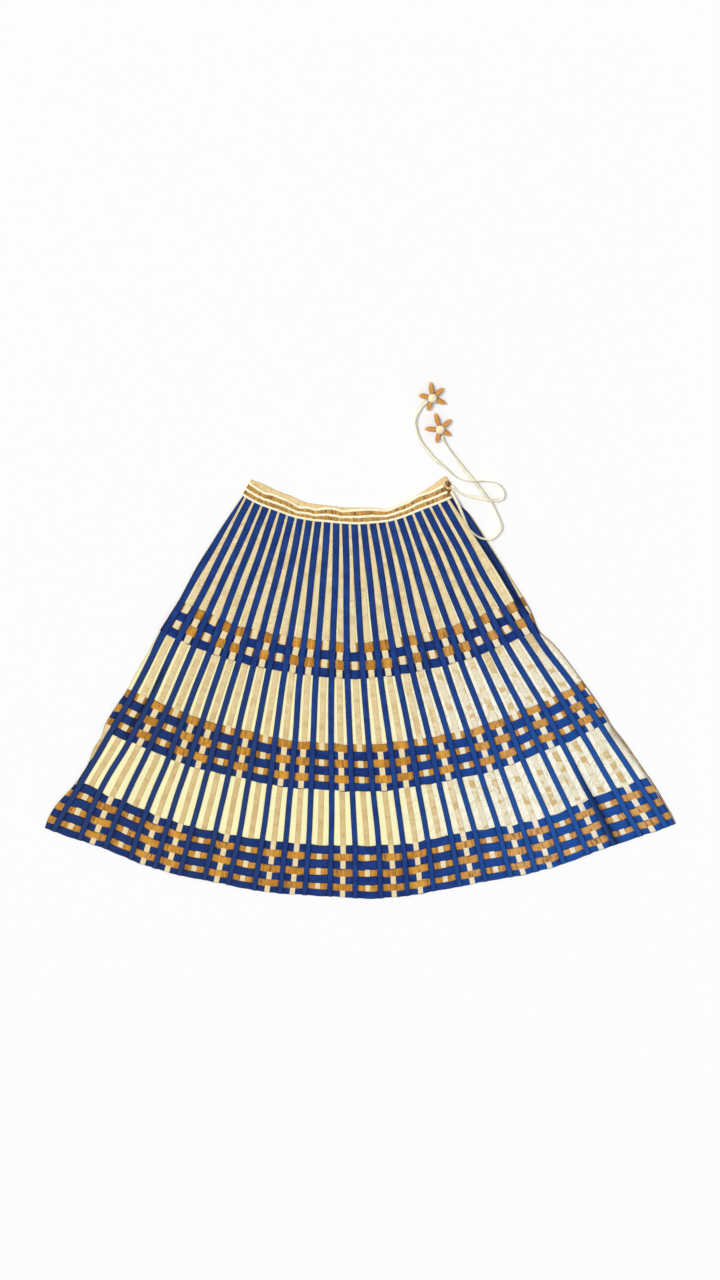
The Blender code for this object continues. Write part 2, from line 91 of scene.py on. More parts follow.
# Sections of the laid skirt: the radius of each, the angles of its left and right side folds, and
# the angle of the crest beside the right one.
SECTION_COLUMNS = ("radius", "left", "right", "crest")
SECTIONS = (
    (376, -31.9, 32.4, 31.6),
    (425, -32.5, 33.75, 31.75),
    (460, -32.8, 33.75, 31.8),
    (500, -32.95, 33.6, 31.85),
    (550, -33.15, 33.45, 31.8),
    (600, -33, 33.3, 31.6),
    (638, -32.9, 33.2, 31.35),
    (681, -33, 32.9, 31.15),
    (725, -33.1, 32.3, 31.1),
    (775, -33, 33, 31.3),
    (850, -33, 33.4, 31.6),
    (893, -32.9, 33.45, 31.75),
    (958, -33.1, 33.5, 31.6),
    (1005, -33.1, 33.45, 31.55),
    (1041, -32.8, 33.35, 31.5),
    (1088, -32.85, 33.5, 31.5),
    (1130, -32.55, 33.5, 31.5),
    (1168, -32.6, 33.5, 31.5),
    (1211, -32.75, 33.5, 31.5),
    (1250, -33.1, 33.45, 31.5),
    (1283, -33.3, 33.35, 31.5),
    (1327, -33.3, 33.25, 31.5),
    (1359, -33.1, 33.1, 31.5),
)

# How far each line of the cut lies further out than its nominal radius, by angle.
LAY_COLUMNS = (
    "angle", "upper_start", "upper_end", "middle_start", "middle_end", "lower_start", "hem",
)
LAY = (
    (-33.5, -6, -9, -9, -14, -20, -16),
    (-32.4, -6.5, -9, -10, -15, -20.2, -18),
    (-31.05, -7, -9.5, -12, -16, -27.5, -20.5),
    (-29.7, -7.5, -10, -13.5, -17, -20.8, -23),
    (-28, -8, -10, -15, -18, -21, -26),
    (-22, -4, -7, -6, -5, -4, -9),
    (-16, -5, -7, -6, -6, -1, -7),
    (-10, -6, -6, 1, 1, 0, 1),
    (-4, -3, -2, 3, 3, 3, 4),
    (2, 2, 2, 8, 8, 3, 11),
    (5, 1, 2, 8, 9, 7, 11),
    (8, 0, 1, 6, 5, 2, 4),
    (11, -1, 0, 7, 3, -4, -1),
    (14, 0, 0, 8, 3, -4, -3),
    (17, 1, 1, 9, 6, 5, 4),
    (20, 3, 3, 6, 2, 9, 3),
    (23, 3, 1, 3, -4, 8, -3),
    (28, 4, 1, 3, -3, 5, 1),
    (33.5, 8, 6, 0, -7, 14, 14),
)

# How many millimetres to the right each radial ribbon lies of its own straight line, at each
# radius. The ribbons are counted from the middle one, and those left out lie between.
SWAY_RADII = (376, 460, 600, 740, 880, 1045, 1190, 1359.0)
SWAY = (
    (-12, (0, 2, 1, 1, 8, 6, 5, 4)),
    (-11, (0, 0, 1, 0, 4, 3, -4, 3)),
    (-9, (0, 0, 0, 1, 2, 2, 1, 6)),
    (-7, (0, 0, -2, -3, -4, -1, 1, 4)),
    (-5, (0, 0, -3, -5, -5, -2, 0, -3)),
    (-3, (0, -2, -3, -6, -3, -2, -1, -3)),
    (-1, (0, 0, -4, -7, -7, -5, -5, -8)),
    (1, (0, -2, -6, -8, -8, -7, -5, -10)),
    (3, (0, 0, -3, -3, 0, -1, -1, -7)),
    (5, (0, 0, -5, -6, -2, -2, 0, -6)),
    (7, (0, 0, -2, -3, -1, -3, -3, -10)),
    (8, (0, 1, 0, 0, 3, 2, 3, -4)),
    (9, (0, 2, -2, -4, 1, -1, 0, -5)),
    (11, (0, -2, -6, -5, 0, 1, -2, -4)),
    (12, (0, 2, -2, -11, -5, -4, -3, -6)),
)

# The waistband's lines by angle: the back's top, the front's top and the seam below both.
WAIST_COLUMNS = ("angle", "back_top", "front_top", "seam")
WAIST = (
    (-32.5, 329, 333.5, 364.5),
    (-29, 326, 336.5, 366),
    (-26, 326, 338.5, 366.5),
    (-24, 327, 335.5, 366.5),
    (-21, 328, 336.5, 366.5),
    (-18, 329, 338, 368),
    (-14, 334, 345, 369.5),
    (-12, 335.5, 342.5, 369.5),
    (-9.5, 335.5, 344, 369.5),
    (-6, 336, 339.5, 369.5),
    (-3.5, 337, 339, 370.5),
    (-0.5, 339, 344.5, 371.5),
    (2, 340, 343.5, 373.5),
    (7, 343.5, 344.5, 376),
    (10, 347.5, 348.5, 377.5),
    (13.5, 354, 354.5, 379),
    (17, 351.5, 352, 379),
    (20, 350.5, 351, 378),
    (24, 346.5, 347, 378),
    (28, 343.5, 350.5, 380.5),
    (32.5, 340, 352, 384),
)
BAND_LEFT = -32.2
BAND_RIGHT = 32.5
BACK_BAND_RIGHT_TOP = 34.8

# The front's large folds: the crest's angle, the reach on each side, the height, and the radii
# where the fold starts, is full, begins to fall and ends.
FOLD_COLUMNS = ("angle", "left", "right", "height", "start", "full", "hold", "end")
FOLDS = (
    (-28.4, 4, 4.5, 3.5, 660, 860, 1190, 1500),
    (-18.9, 2.8, 4, 2.5, 1111, 1340, 1500, 1600),
    (-9.5, 5.5, 5.5, 2.5, 889, 1266, 1500, 1600),
    (1.4, 5.5, 5.5, 3, 889, 1194, 1500, 1600),
    (12.2, 5.5, 5.5, 2.5, 958, 1266, 1500, 1600),
    (23, 5.5, 3.6, 4, 889, 1194, 1500, 1600),
)
# The crest beside the right side fold falls steeply to the valley that the last ribbon lies in.
CREST = {
    "left": 5.5, "right": 0.35, "height": 3.0,
    "start": 380.0, "full": 560.0, "hold": 570.0, "end": 1000.0,
}

# Creases, given one by one: where the middle of each lies, how far it turns from a straight line
# to the apex, its length and width in millimetres, and its height, negative for a trough.
CREASE_COLUMNS = ("angle", "radius", "turn", "length", "width", "height")
CREASES = (
    (-31.2, 860, 14, 190, 9, -0.8),
    (-30.1, 1105, -9, 170, 7, -1),
    (-29.2, 915, 6, 260, 8, -0.9),
    (-26.6, 1210, 20, 150, 11, 0.7),
    (-22.4, 780, -4, 200, 12, 0.6),
    (-17.6, 1330, 3, 120, 9, -0.9),
    (-14, 1120, 8, 220, 15, 0.6),
    (-11.4, 610, -5, 180, 9, -0.5),
    (-6.2, 1010, 12, 160, 13, 0.6),
    (-2.7, 1290, -6, 190, 12, -0.7),
    (0.9, 720, 4, 230, 10, 0.5),
    (4.1, 1120, 28, 90, 9, 0.6),
    (6.8, 1300, 7, 170, 11, -0.8),
    (9.8, 860, -10, 190, 10, -0.6),
    (13.6, 1060, 22, 130, 10, 0.6),
    (16.2, 560, 6, 170, 8, 0.6),
    (17.4, 1220, -12, 180, 11, -0.9),
    (19.2, 960, 15, 180, 9, 0.7),
    (21.6, 520, -14, 110, 7, 0.7),
    (24.9, 545, 16, 120, 7, -0.7),
    (25.9, 1090, 9, 250, 9, -1),
    (27.2, 1255, -5, 230, 8, -1.3),
    (28.2, 780, 24, 120, 8, 0.7),
    (30.4, 930, -12, 190, 8, 0.8),
    (31.9, 1090, 7, 170, 7, -0.9),
)

# The woven bands: the radius where each starts, and the depths of its rows from there.
BANDS = {
    "upper": {"start": 638.0, "rows": (22.0, 22.0, 21.0, 22.0), "first": "bronze"},
    "middle": {"start": 893.0, "rows": (20.0, 24.0, 20.0, 24.0, 20.0, 23.0), "first": "bronze"},
    "lower": {
        "start": 1192.0, "rows": (26.0, 21.0, 27.0, 22.0, 26.0, 21.0, 24.0), "first": "blue",
    },
}

# How each gap between two blue ribbons is woven. In an x gap the bronze rows pass over the tan
# ribbon, which passes over the blue rows. In a y gap the blue rows are on top of everything.
WEAVE_REPEAT = "yxyxx"

# Millimetres: the heights of the layers above the surface, their walls, how far a ribbon near a
# side fold clings to it, how the layers step over each other, and how they end and turn down.
BACK_TOP = 0.9
FRONT_TOP = 2.3
TAN_LOW = 2.72
ROW_LOW = 3.25
ROW_HIGH = 3.75
TAN_HIGH = 4.2
BLUE_LOW = 3.6
BLUE_HIGH = 4.9
CLOTH_WALL = 0.5
RIBBON_WALL = 0.28
FOLD_ROUND = 2.0
PUCKER = 0.12
LOWEST_TROUGH = -0.55
SIDE_FLOOR = 0.6
SIDE_INSET = 0.04
CLING_NEAR = 1.5
CLING_FAR = 4.5
BAND_STEP = 4.0
STEP_CLEARANCE = 1.0
ROW_OVERLAP = 0.8
HEM_TURN = 2.5
CLOTH_DROP = 1.0
RIBBON_DROP = 1.6
PAST_HEM = 100.0
BLUE_START = 0.3
TAN_START = 0.5
TAN_STEP_INSET = 0.8
TAN_STEP = 1.8


def records(names, rows):
    """A table's rows, each as a dictionary by the names of its columns."""
    return [dict(zip(names, row)) for row in rows]


def column(names, rows, name):
    """One named column of a table."""
    index = names.index(name)
    return np.array([row[index] for row in rows], float)


def smooth(at, keys, values):
    """A table's value at each place, on a smooth curve through its rows."""
    at = np.clip(at, keys[0], keys[-1])
    slopes = np.gradient(values, keys)
    row = np.clip(np.searchsorted(keys, at, side="right") - 1, 0, len(keys) - 2)
    span = keys[row + 1] - keys[row]
    t = (at - keys[row]) / span
    start = (1.0 + 2.0 * t) * (1.0 - t) ** 2 * values[row]
    leave = t * (1.0 - t) ** 2 * span * slopes[row]
    end = t * t * (3.0 - 2.0 * t) * values[row + 1]
    arrive = t * t * (t - 1.0) * span * slopes[row + 1]
    return start + leave + end + arrive


def read(names, rows, name, key, at):
    """A table's column at each place along its key column."""
    return smooth(at, column(names, rows, key), column(names, rows, name))


def ramp(low, high, at):
    """A soft step from 0 at low to 1 at high."""
    t = np.clip((at - low) / (high - low), 0.0, 1.0)
    return t * t * (3.0 - 2.0 * t)


def plateau(low, high, soft, at):
    """A soft 1 between low and high."""
    return ramp(low - soft, low, at) * (1.0 - ramp(high, high + soft, at))


def side(name, nominal):
    return read(SECTION_COLUMNS, SECTIONS, name, "radius", nominal)


def waist(name, angle):
    return read(WAIST_COLUMNS, WAIST, name, "angle", angle)


def band_end(band):
    return band["start"] + sum(band["rows"])


def row_colour(band, row):
    starts_bronze = band["first"] == "bronze"
    return "bronze" if (row % 2 == 0) == starts_bronze else "blue"


def row_span(band, row):
    """The nominal radii between which one row of a band lies."""
    inner = band["start"] + sum(band["rows"][:row])
    return inner, inner + band["rows"][row]


def radius(angle, nominal):
    """The radius where a line of the cut really lies at each angle."""
    stations = [SEAM]
    for band in BANDS.values():
        stations += [band["start"], band_end(band)]
    stations = np.array(stations)
    shifts = [waist("seam", angle) - SEAM]
    shifts += [read(LAY_COLUMNS, LAY, name, "angle", angle) for name in LAY_COLUMNS[1:]]
    shifts = np.array(shifts)
    row = np.clip(np.searchsorted(stations, nominal, side="right") - 1, 0, len(stations) - 2)
    t = np.clip((nominal - stations[row]) / (stations[row + 1] - stations[row]), 0.0, 1.05)
    each = np.arange(len(row))
    return nominal + (1.0 - t) * shifts[row, each] + t * shifts[row + 1, each]


def flat(angle, distance):
    """X and Y from the apex, in millimetres."""
    turn = np.radians(angle)
    return distance * np.sin(turn), -distance * np.cos(turn)


def swayed(angle, nominal):
    """Where a place of the ribbon work lies once the ribbons sway, as an angle."""
    keys = np.array(SWAY_RADII, float)
    shifts = np.array([smooth(nominal, keys, np.array(row[1], float)) for row in SWAY])
    place = np.interp(angle / RIBBON_PITCH, [row[0] for row in SWAY], np.arange(len(SWAY)))
    low = np.clip(np.floor(place).astype(int), 0, len(SWAY) - 2)
    share = place - low
    each = np.arange(len(nominal))
    moved = (1.0 - share) * shifts[low, each] + share * shifts[low + 1, each]
    return angle + np.degrees(moved / nominal)


def rise(angle, nominal):
    """The front's rise above the back: its large folds, its creases and its puckers."""
    total = np.zeros(len(angle))
    for fold in (*records(FOLD_COLUMNS, FOLDS), {"angle": side("crest", nominal), **CREST}):
        offset = angle - fold["angle"]
        reach = np.where(offset > 0, fold["right"], fold["left"])
        across = np.cos(np.minimum(np.abs(offset) / reach, 1.0) * math.pi / 2) ** 2
        share = ramp(fold["start"], fold["full"], nominal)
        share = share * (1.0 - ramp(fold["hold"], fold["end"], nominal))
        total += fold["height"] * across * share
    x, y = flat(angle, nominal)
    for crease in records(CREASE_COLUMNS, CREASES):
        middle = flat(crease["angle"], crease["radius"])
        heading = math.radians(crease["angle"] + crease["turn"])
        along = (x - middle[0]) * math.sin(heading) - (y - middle[1]) * math.cos(heading)
        aside = (x - middle[0]) * math.cos(heading) + (y - middle[1]) * math.sin(heading)
        share = np.clip(1.0 - (2.0 * along / crease["length"]) ** 2, 0.0, 1.0) ** 2
        total += crease["height"] * share * np.exp(-((aside / crease["width"]) ** 2))
    pucker = np.sin(x / 11.0 + 1.7 * np.sin(y / 31.0)) * np.sin(y / 17.0 + 2.0 * np.sin(x / 47.0))
    return np.maximum(total + PUCKER * pucker, LOWEST_TROUGH)


def edge_fall(angle, nominal):
    """How far the cloth turns down as it rounds a side fold."""
    left = (angle - side("left", nominal)) * math.pi / 180.0 * nominal
    right = (side("right", nominal) - angle) * math.pi / 180.0 * nominal
    near = np.clip(np.minimum(left, right) / FOLD_ROUND, 0.0, 1.0)
    return FOLD_ROUND * (1.0 - np.sqrt(np.clip(1.0 - (1.0 - near) ** 2, 0.0, 1.0)))


def hem_fall(nominal, drop):
    """How far the cloth or a ribbon turns down at the hem's edge."""
    return drop * ramp(HEM - HEM_TURN, HEM, nominal)


def lay(angle, nominal, height):
    """Points in metres for places on the front, at a height above its own rise."""
    distance = radius(angle, nominal)
    z = height + rise(angle, nominal) - edge_fall(angle, nominal)
    z = np.maximum(z, SIDE_FLOOR + 0.3 * np.maximum(height - FRONT_TOP, 0.0))
    x, y = flat(angle, distance)
    return APEX + np.column_stack((x, y, z)) * MM


def ribbon_across(middle, nominal, s, wander):
    """The angle of each place across a ribbon, kept on the cloth, and its millimetres aside."""
    centre = swayed(middle + 0.0 * nominal, nominal)
    real = radius(centre, nominal)
    centre = centre + np.degrees(wander / real)
    half = np.degrees(RIBBON_WIDTH / 2 / real)
    most = side("right", nominal) - SIDE_INSET
    least = side("left", nominal) + SIDE_INSET
    left = np.clip(centre - half, least, most - SIDE_INSET)
    left = least + (left - least) * ramp(CLING_NEAR, CLING_FAR, np.radians(left - least) * real)
    right = np.clip(centre + half, left + SIDE_INSET, most)
    right = most - (most - right) * ramp(CLING_NEAR, CLING_FAR, np.radians(most - right) * real)
    angle = left + s * (right - left)
    return angle, np.radians(angle - centre) * real, real


def gap_of(angle):
    """The number of the gap between two blue ribbons, and how far across it each place lies."""
    turns = angle / RIBBON_PITCH + RIBBONS_EACH_SIDE + 1
    gap = np.floor(turns).astype(int)
    return gap + 1, turns - gap


def is_x(gap):
    """True where bronze rows pass over the tan ribbon."""
    letters = np.array([letter == "x" for letter in WEAVE_REPEAT])
    return np.where(gap < 2, True, letters[(gap - 2) % len(WEAVE_REPEAT)])


def chance(*numbers):
    """A fixed number from -1 to 1 for each place, without a random seed."""
    mixed = sum(np.sin(np.asarray(n, float) * k) for n, k in zip(numbers, (12.9898, 78.233, 37.7)))
    return np.sin(mixed * 43758.5453 + sum(np.asarray(n, float) for n in numbers) * 3.1)


# Finishes


def linear(red, green, blue):
    """A colour given as 0 to 255 on a screen, as the light that the shader works in."""
    shares = [c / 255.0 for c in (red, green, blue)]
    made = [c / 12.92 if c <= 0.04045 else ((c + 0.055) / 1.055) ** 2.4 for c in shares]
    return (*made, 1.0)


class Value:
    """A number or colour in a shader. Arithmetic on it adds the nodes that work it out."""

    def __init__(self, socket):
        self.socket = socket
        self.tree = socket.id_data

    def __add__(self, other):
        return calc("ADD", self, other)

    def __sub__(self, other):
        return calc("SUBTRACT", self, other)

    def __rsub__(self, other):
        return calc("SUBTRACT", other, self)

    def __mul__(self, other):
        return calc("MULTIPLY", self, other)

    def __truediv__(self, other):
        return calc("DIVIDE", self, other)

    def __rtruediv__(self, other):
        return calc("DIVIDE", other, self)


def node(tree, kind, settings=None, **inputs):
    """A node with its settings, and its inputs given by name, or by number as i0, i1 and on."""
    made = tree.nodes.new(kind)
    for name, value in (settings or {}).items():
        setattr(made, name, value)
    for name, value in inputs.items():
        socket = made.inputs[int(name[1:]) if name[1:].isdigit() else name.replace("_", " ")]
        if isinstance(value, Value):
            tree.links.new(value.socket, socket)
        else:
            socket.default_value = value
    return made


def calc(operation, *values):
    """One step of arithmetic."""
    tree = next(value.tree for value in values if isinstance(value, Value))
    inputs = {f"i{number}": value for number, value in enumerate(values)}
    return Value(node(tree, "ShaderNodeMath", {"operation": operation}, **inputs).outputs[0])


def soft_step(value, low, high):
    """0 below low and 1 above high, with a soft change between."""
    settings = {"interpolation_type": "SMOOTHSTEP"}
    limits = {"From_Min": low, "From_Max": high}
    made = node(value.tree, "ShaderNodeMapRange", settings, Value=value, **limits)
    return Value(made.outputs[0])


def line_at(value, level, width):
    """1 where a value is close to a level, as along a crease, and 0 away from it."""
    return 1.0 - soft_step(calc("ABSOLUTE", value - level), 0.0, width)


def mix_colour(share, first, second):
    """The first colour with a share of the second. Sockets 6, 7 and 2 are the node's colours."""
    settings = {"data_type": "RGBA"}
    made = node(share.tree, "ShaderNodeMix", settings, i0=share, i6=first, i7=second)
    return Value(made.outputs[2])


def group(name, effect, takes):
    """A shared shader group: effect is given its inputs by name, and returns its outputs."""
    tree = bpy.data.node_groups.new(name, "ShaderNodeTree")

    def new_socket(socket_name, direction):
        return tree.interface.new_socket(
            name=socket_name, in_out=direction, socket_type="NodeSocketFloat"
        )

    for socket_name, value in takes.items():
        new_socket(socket_name, "INPUT").default_value = value
    start = tree.nodes.new("NodeGroupInput")
    gives = effect({socket.name: Value(socket) for socket in start.outputs})
    for socket_name in gives:
        new_socket(socket_name, "OUTPUT")
    end = tree.nodes.new("NodeGroupOutput")
    for socket_name, value in gives.items():
        tree.links.new(value.socket, end.inputs[socket_name])
    return tree


def plain_weave(takes):
    """Threads across and along, as a height from 0 to 1."""
    turn = math.pi / takes["Thread"]
    both = calc("SINE", takes["Across"] * turn) * calc("SINE", takes["Along"] * turn)
    return {"Height": both * 0.5 + 0.5}


def ribs(takes):
    """Ribs across a ribbon, as a height from 0 to 1."""
    turns = takes["Along"] / takes["Pitch"]
    return {"Height": calc("ABSOLUTE", calc("SINE", turns * math.pi))}


def sewn_edge(takes):
    """The dark selvage with painted shade along it, and a line of stitches just inside it."""
    inwards = takes["Half width"] - calc("ABSOLUTE", takes["Across"])
    line = 1.0 - soft_step(calc("ABSOLUTE", inwards - takes["Inset"]), 0.18, 0.34)
    dash = calc("LESS_THAN", calc("FRACT", takes["Along"] / takes["Stitch"]), 0.7)
    return {"Edge": 1.0 - soft_step(inwards, 0.3, 1.5), "Stitches": line * dash}


def crushed_silk(takes):
    """Irregular creases as a value from 0 to 1, different on each piece."""
    x, y = takes["Across"] / takes["Width"], takes["Along"] / takes["Length"]
    spot = node(x.tree, "ShaderNodeCombineXYZ", X=x, Y=y, Z=takes["Piece"] * 3.7)
    pattern = {"Vector": Value(spot.outputs[0]), "Distortion": takes["Bend"]}
    gives = {}
    for name, scale, detail in (("Value", 1.0, 3.0), ("Fine", 3.7, 2.0), ("Soft", 1.0, 0.0)):
        noise = node(x.tree, "ShaderNodeTexNoise", Scale=scale, Detail=detail, **pattern)
        gives[name] = Value(noise.outputs[0])
    return gives


WEAVE = group("plain weave", plain_weave, {"Across": 0.0, "Along": 0.0, "Thread": 0.4})
RIBS = group("ribs", ribs, {"Along": 0.0, "Pitch": 0.9})
SEWN_EDGE = group(
    "sewn edge", sewn_edge,
    {"Across": 0.0, "Along": 0.0, "Half width": RIBBON_WIDTH / 2, "Inset": 0.9, "Stitch": 3.0},
)
CRUSH = group(
    "crushed silk", crushed_silk,
    {"Across": 0.0, "Along": 0.0, "Piece": 0.0, "Width": 12.0, "Length": 5.0, "Bend": 0.4},
)


class Cloth:
    """A cloth's material, while nodes are added for its colour and its relief.

    Its pattern runs in millimetres across and along, from the piece's UV map.
    """

    def __init__(self, name, roughness, sheen, specular):
        self.made = bpy.data.materials.new(name)
        self.made.use_nodes = True
        self.tree = self.made.node_tree
        self.shader = self.tree.nodes["Principled BSDF"]
        self.shader.inputs["Roughness"].default_value = roughness
        self.shader.inputs["Sheen Weight"].default_value = sheen
        self.shader.inputs["Sheen Roughness"].default_value = 0.4
        self.shader.inputs["Specular IOR Level"].default_value = specular
        uv = node(self.tree, "ShaderNodeUVMap", {"uv_map": "cloth"})
        parts = node(self.tree, "ShaderNodeSeparateXYZ", Vector=Value(uv.outputs[0])).outputs
        self.across = Value(parts["X"]) * 1000.0
        self.along = Value(parts["Y"]) * 1000.0
        self.colour = None

    def carried(self, name):
        """A value that the piece carries at each point, such as how crushed it is."""
        made = node(self.tree, "ShaderNodeAttribute", {"attribute_name": name})
        return Value(made.outputs["Fac"])

    def place(self, group_tree, **inputs):
        """A shared effect's outputs, by name."""
        made = node(self.tree, "ShaderNodeGroup", {"node_tree": group_tree}, **inputs)
        return {socket.name: Value(socket) for socket in made.outputs}

    def on_pattern(self, group_tree, **inputs):
        """A shared effect that follows the cloth's pattern."""
        return self.place(group_tree, Across=self.across, Along=self.along, **inputs)

    def tint(self, share, colour, strength=1.0):
        """Mixes a share of another colour in, at a fixed or a varied strength."""
        share = share if strength == 1.0 else share * strength
        self.colour = mix_colour(share, self.colour, colour)

    def finish(self, height, depth):
        """Joins the colour, and a height from 0 to 1 that stands for so many metres of relief."""
        self.tree.links.new(self.colour.socket, self.shader.inputs["Base Color"])
        bump = node(self.tree, "ShaderNodeBump", Height=height, Distance=depth, Strength=1.0)
        self.tree.links.new(bump.outputs[0], self.shader.inputs["Normal"])
        return self.made


def cream_silk():
    """Cream silk: a painted whiter sheen and darker marks where it is crushed, and painted shade.
    """
    cloth = Cloth("cream silk", 0.55, sheen=0.08, specular=0.2)
    crush = cloth.on_pattern(CRUSH, Width=16.0, Length=24.0, Bend=1.2)
    weave = cloth.on_pattern(WEAVE, Thread=0.45)
    crush_and_painted_sheen = cloth.carried("crush")
    # A painted whiter sheen where crushed, darker marks there, and painted shade where the piece
    # carries it.
    cloth.colour = mix_colour(crush_and_painted_sheen, linear(254, 247, 184), linear(252, 250, 236))
    line = line_at(crush["Value"], 0.52, 0.035)
    patch = soft_step(crush["Soft"], 0.55, 0.72)
    cloth.tint(calc("MAXIMUM", line, patch) * crush_and_painted_sheen, linear(216, 196, 150), 0.6)
    cloth.tint(cloth.carried("deep"), linear(118, 92, 54))
    return cloth.finish(crush["Value"] * (crush_and_painted_sheen * 1.3 + 0.15) + weave["Height"] * 0.05, 0.0022)


def tan_silk():
    """Tan silk, paler by the waist, with painted sheen over a row and in whitish blocks where
    crushed.
    """
    cloth = Cloth("tan ribbon", 0.5, sheen=0.1, specular=0.2)
    piece, crush_and_painted_sheen, far = [cloth.carried(name) for name in ("piece", "crush", "far")]
    crush = cloth.on_pattern(CRUSH, Piece=piece, Width=17.0, Length=15.0)
    block = cloth.on_pattern(CRUSH, Piece=piece, Width=30.0, Length=24.0, Bend=0.5)
    fine_crinkle = cloth.on_pattern(CRUSH, Piece=piece, Width=6.0, Length=2.6, Bend=0.8)
    weave = cloth.on_pattern(WEAVE, Thread=0.4)
    edge = cloth.on_pattern(SEWN_EDGE)
    dark = linear(190, 154, 98)
    painted_sheen_colour = mix_colour(crush_and_painted_sheen, linear(238, 216, 160), linear(238, 233, 212))
    cloth.colour = mix_colour(far, linear(238, 217, 167), linear(219, 191, 132))
    cloth.tint(1.0 - soft_step(block["Soft"], 0.3, 0.5), dark, 0.3)
    # Painted sheen: whitish in soft blocks where crushed and over a raised ribbon, and in fine
    # glints.
    lit = soft_step(crush_and_painted_sheen * 0.15 + block["Soft"], 0.5, 0.64) * crush_and_painted_sheen
    cloth.tint(calc("MAXIMUM", lit, cloth.carried("raised")), painted_sheen_colour)
    cloth.tint(soft_step(fine_crinkle["Value"], 0.55, 0.7), painted_sheen_colour, crush_and_painted_sheen * 0.1 + 0.15)
    # Painted shade and painted highlights along its creases.
    cloth.tint(line_at(crush["Value"], 0.5, 0.03), dark, crush_and_painted_sheen * 0.2 + 0.16)
    much = crush_and_painted_sheen * 0.2 + (far * -0.45 + 0.6)
    cloth.tint(line_at(crush["Value"], 0.56, 0.04), linear(252, 238, 202), much)
    # The dark selvage with painted shade along it, and painted shade where the piece carries it.
    cloth.tint(edge["Edge"], dark, 0.3)
    cloth.tint(cloth.carried("deep"), linear(118, 84, 46))
    height = crush["Value"] * 0.9 + fine_crinkle["Value"] + weave["Height"] * 0.06
    return cloth.finish(height, 0.0011)


def bronze_silk(name, light, base, gather=0.0):
    """Bronze silk in soft pleats across the ribbon, with painted shade at its edges and painted
    sheen where crushed.
    """
    cloth = Cloth(name, 0.42, sheen=0.06, specular=0.3)
    piece, crush_and_painted_sheen = cloth.carried("piece"), cloth.carried("crush")
    crush = cloth.on_pattern(CRUSH, Piece=piece, Width=30.0, Length=8.0)
    pleat = cloth.on_pattern(CRUSH, Piece=piece, Width=45.0, Length=5.2, Bend=0.35)
    weave = cloth.on_pattern(WEAVE, Thread=0.4)
    dark = linear(108, 62, 12)
    cloth.colour = mix_colour(cloth.carried("tone"), base, light)
    # A paler painted sheen where crushed, painted shade in the wrinkles, painted shade and
    # highlights on the pleats, and painted shade at the edges and where the piece carries it.
    cloth.tint(crush_and_painted_sheen, linear(222, 168, 102), 0.7)
    wrinkle = 1.0 - soft_step(crush["Value"], 0.34, 0.5 + gather)
    cloth.tint(wrinkle, dark, crush_and_painted_sheen * 0.2 + (0.3 + gather))
    cloth.tint(soft_step(pleat["Value"], 0.54, 0.68), dark, crush_and_painted_sheen * 0.15 + 0.65)
    cloth.tint(1.0 - soft_step(pleat["Value"], 0.32, 0.46), linear(238, 184, 104), 0.45)
    cloth.tint(soft_step(cloth.carried("rim"), 0.74, 1.0), dark, 0.5)
    cloth.tint(cloth.carried("deep"), linear(74, 42, 14))
    height = weave["Height"] * 0.08 + crush["Value"] + pleat["Value"] * -1.2
    return cloth.finish(height, 0.0014)


def blue_grosgrain(name, base, light, dull, vivid, stitched):
    """Blue ribbed ribbon, with a dark selvage and painted shade at its edges and, where it is sewn
    down, a line of stitches.
    """
    cloth = Cloth(name, 0.75, sheen=0.02, specular=0.1)
    crush = cloth.on_pattern(CRUSH, Piece=cloth.carried("piece"), Width=18.0, Length=30.0)
    half = RIBBON_WIDTH / 2 if stitched else ROW_WIDTH / 2
    edge = cloth.on_pattern(SEWN_EDGE, Half_width=half)
    dark = linear(14, 24, 66)
    cloth.colour = mix_colour(soft_step(crush["Value"], 0.35, 0.68), base, light)
    # Painted light: duller as painted shade low on the left, more vivid as painted sheen low on the
    # right.
    cloth.tint(cloth.carried("dull"), dull)
    cloth.tint(cloth.carried("vivid"), vivid)
    # The dark selvage with painted shade along it.
    cloth.tint(edge["Edge"], dark, 0.75)
    height = cloth.place(RIBS, Along=cloth.along)["Height"] * 0.16 + crush["Value"]
    if stitched:
        cloth.tint(edge["Stitches"], dark, 0.7)
        height = height + edge["Stitches"] * -0.25
    # Painted shade where the piece carries it.
    cloth.tint(cloth.carried("deep"), linear(9, 14, 34))
    return cloth.finish(height, 0.0008)


def plain_cloth(name, light, dark, roughness=0.6):
    """A woven cloth with a soft change of tone, and painted shade where the piece carries it."""
    cloth = Cloth(name, roughness, sheen=0.08, specular=0.2)
    weave = cloth.on_pattern(WEAVE, Thread=0.45)
    crush = cloth.on_pattern(CRUSH, Width=7.0, Length=11.0)
    cloth.colour = mix_colour(soft_step(crush["Value"], 0.4, 0.72) * 0.5, light, dark)
    cloth.tint(cloth.carried("deep"), dark)
    return cloth.finish(weave["Height"] * 0.3 + crush["Fine"], 0.0004)


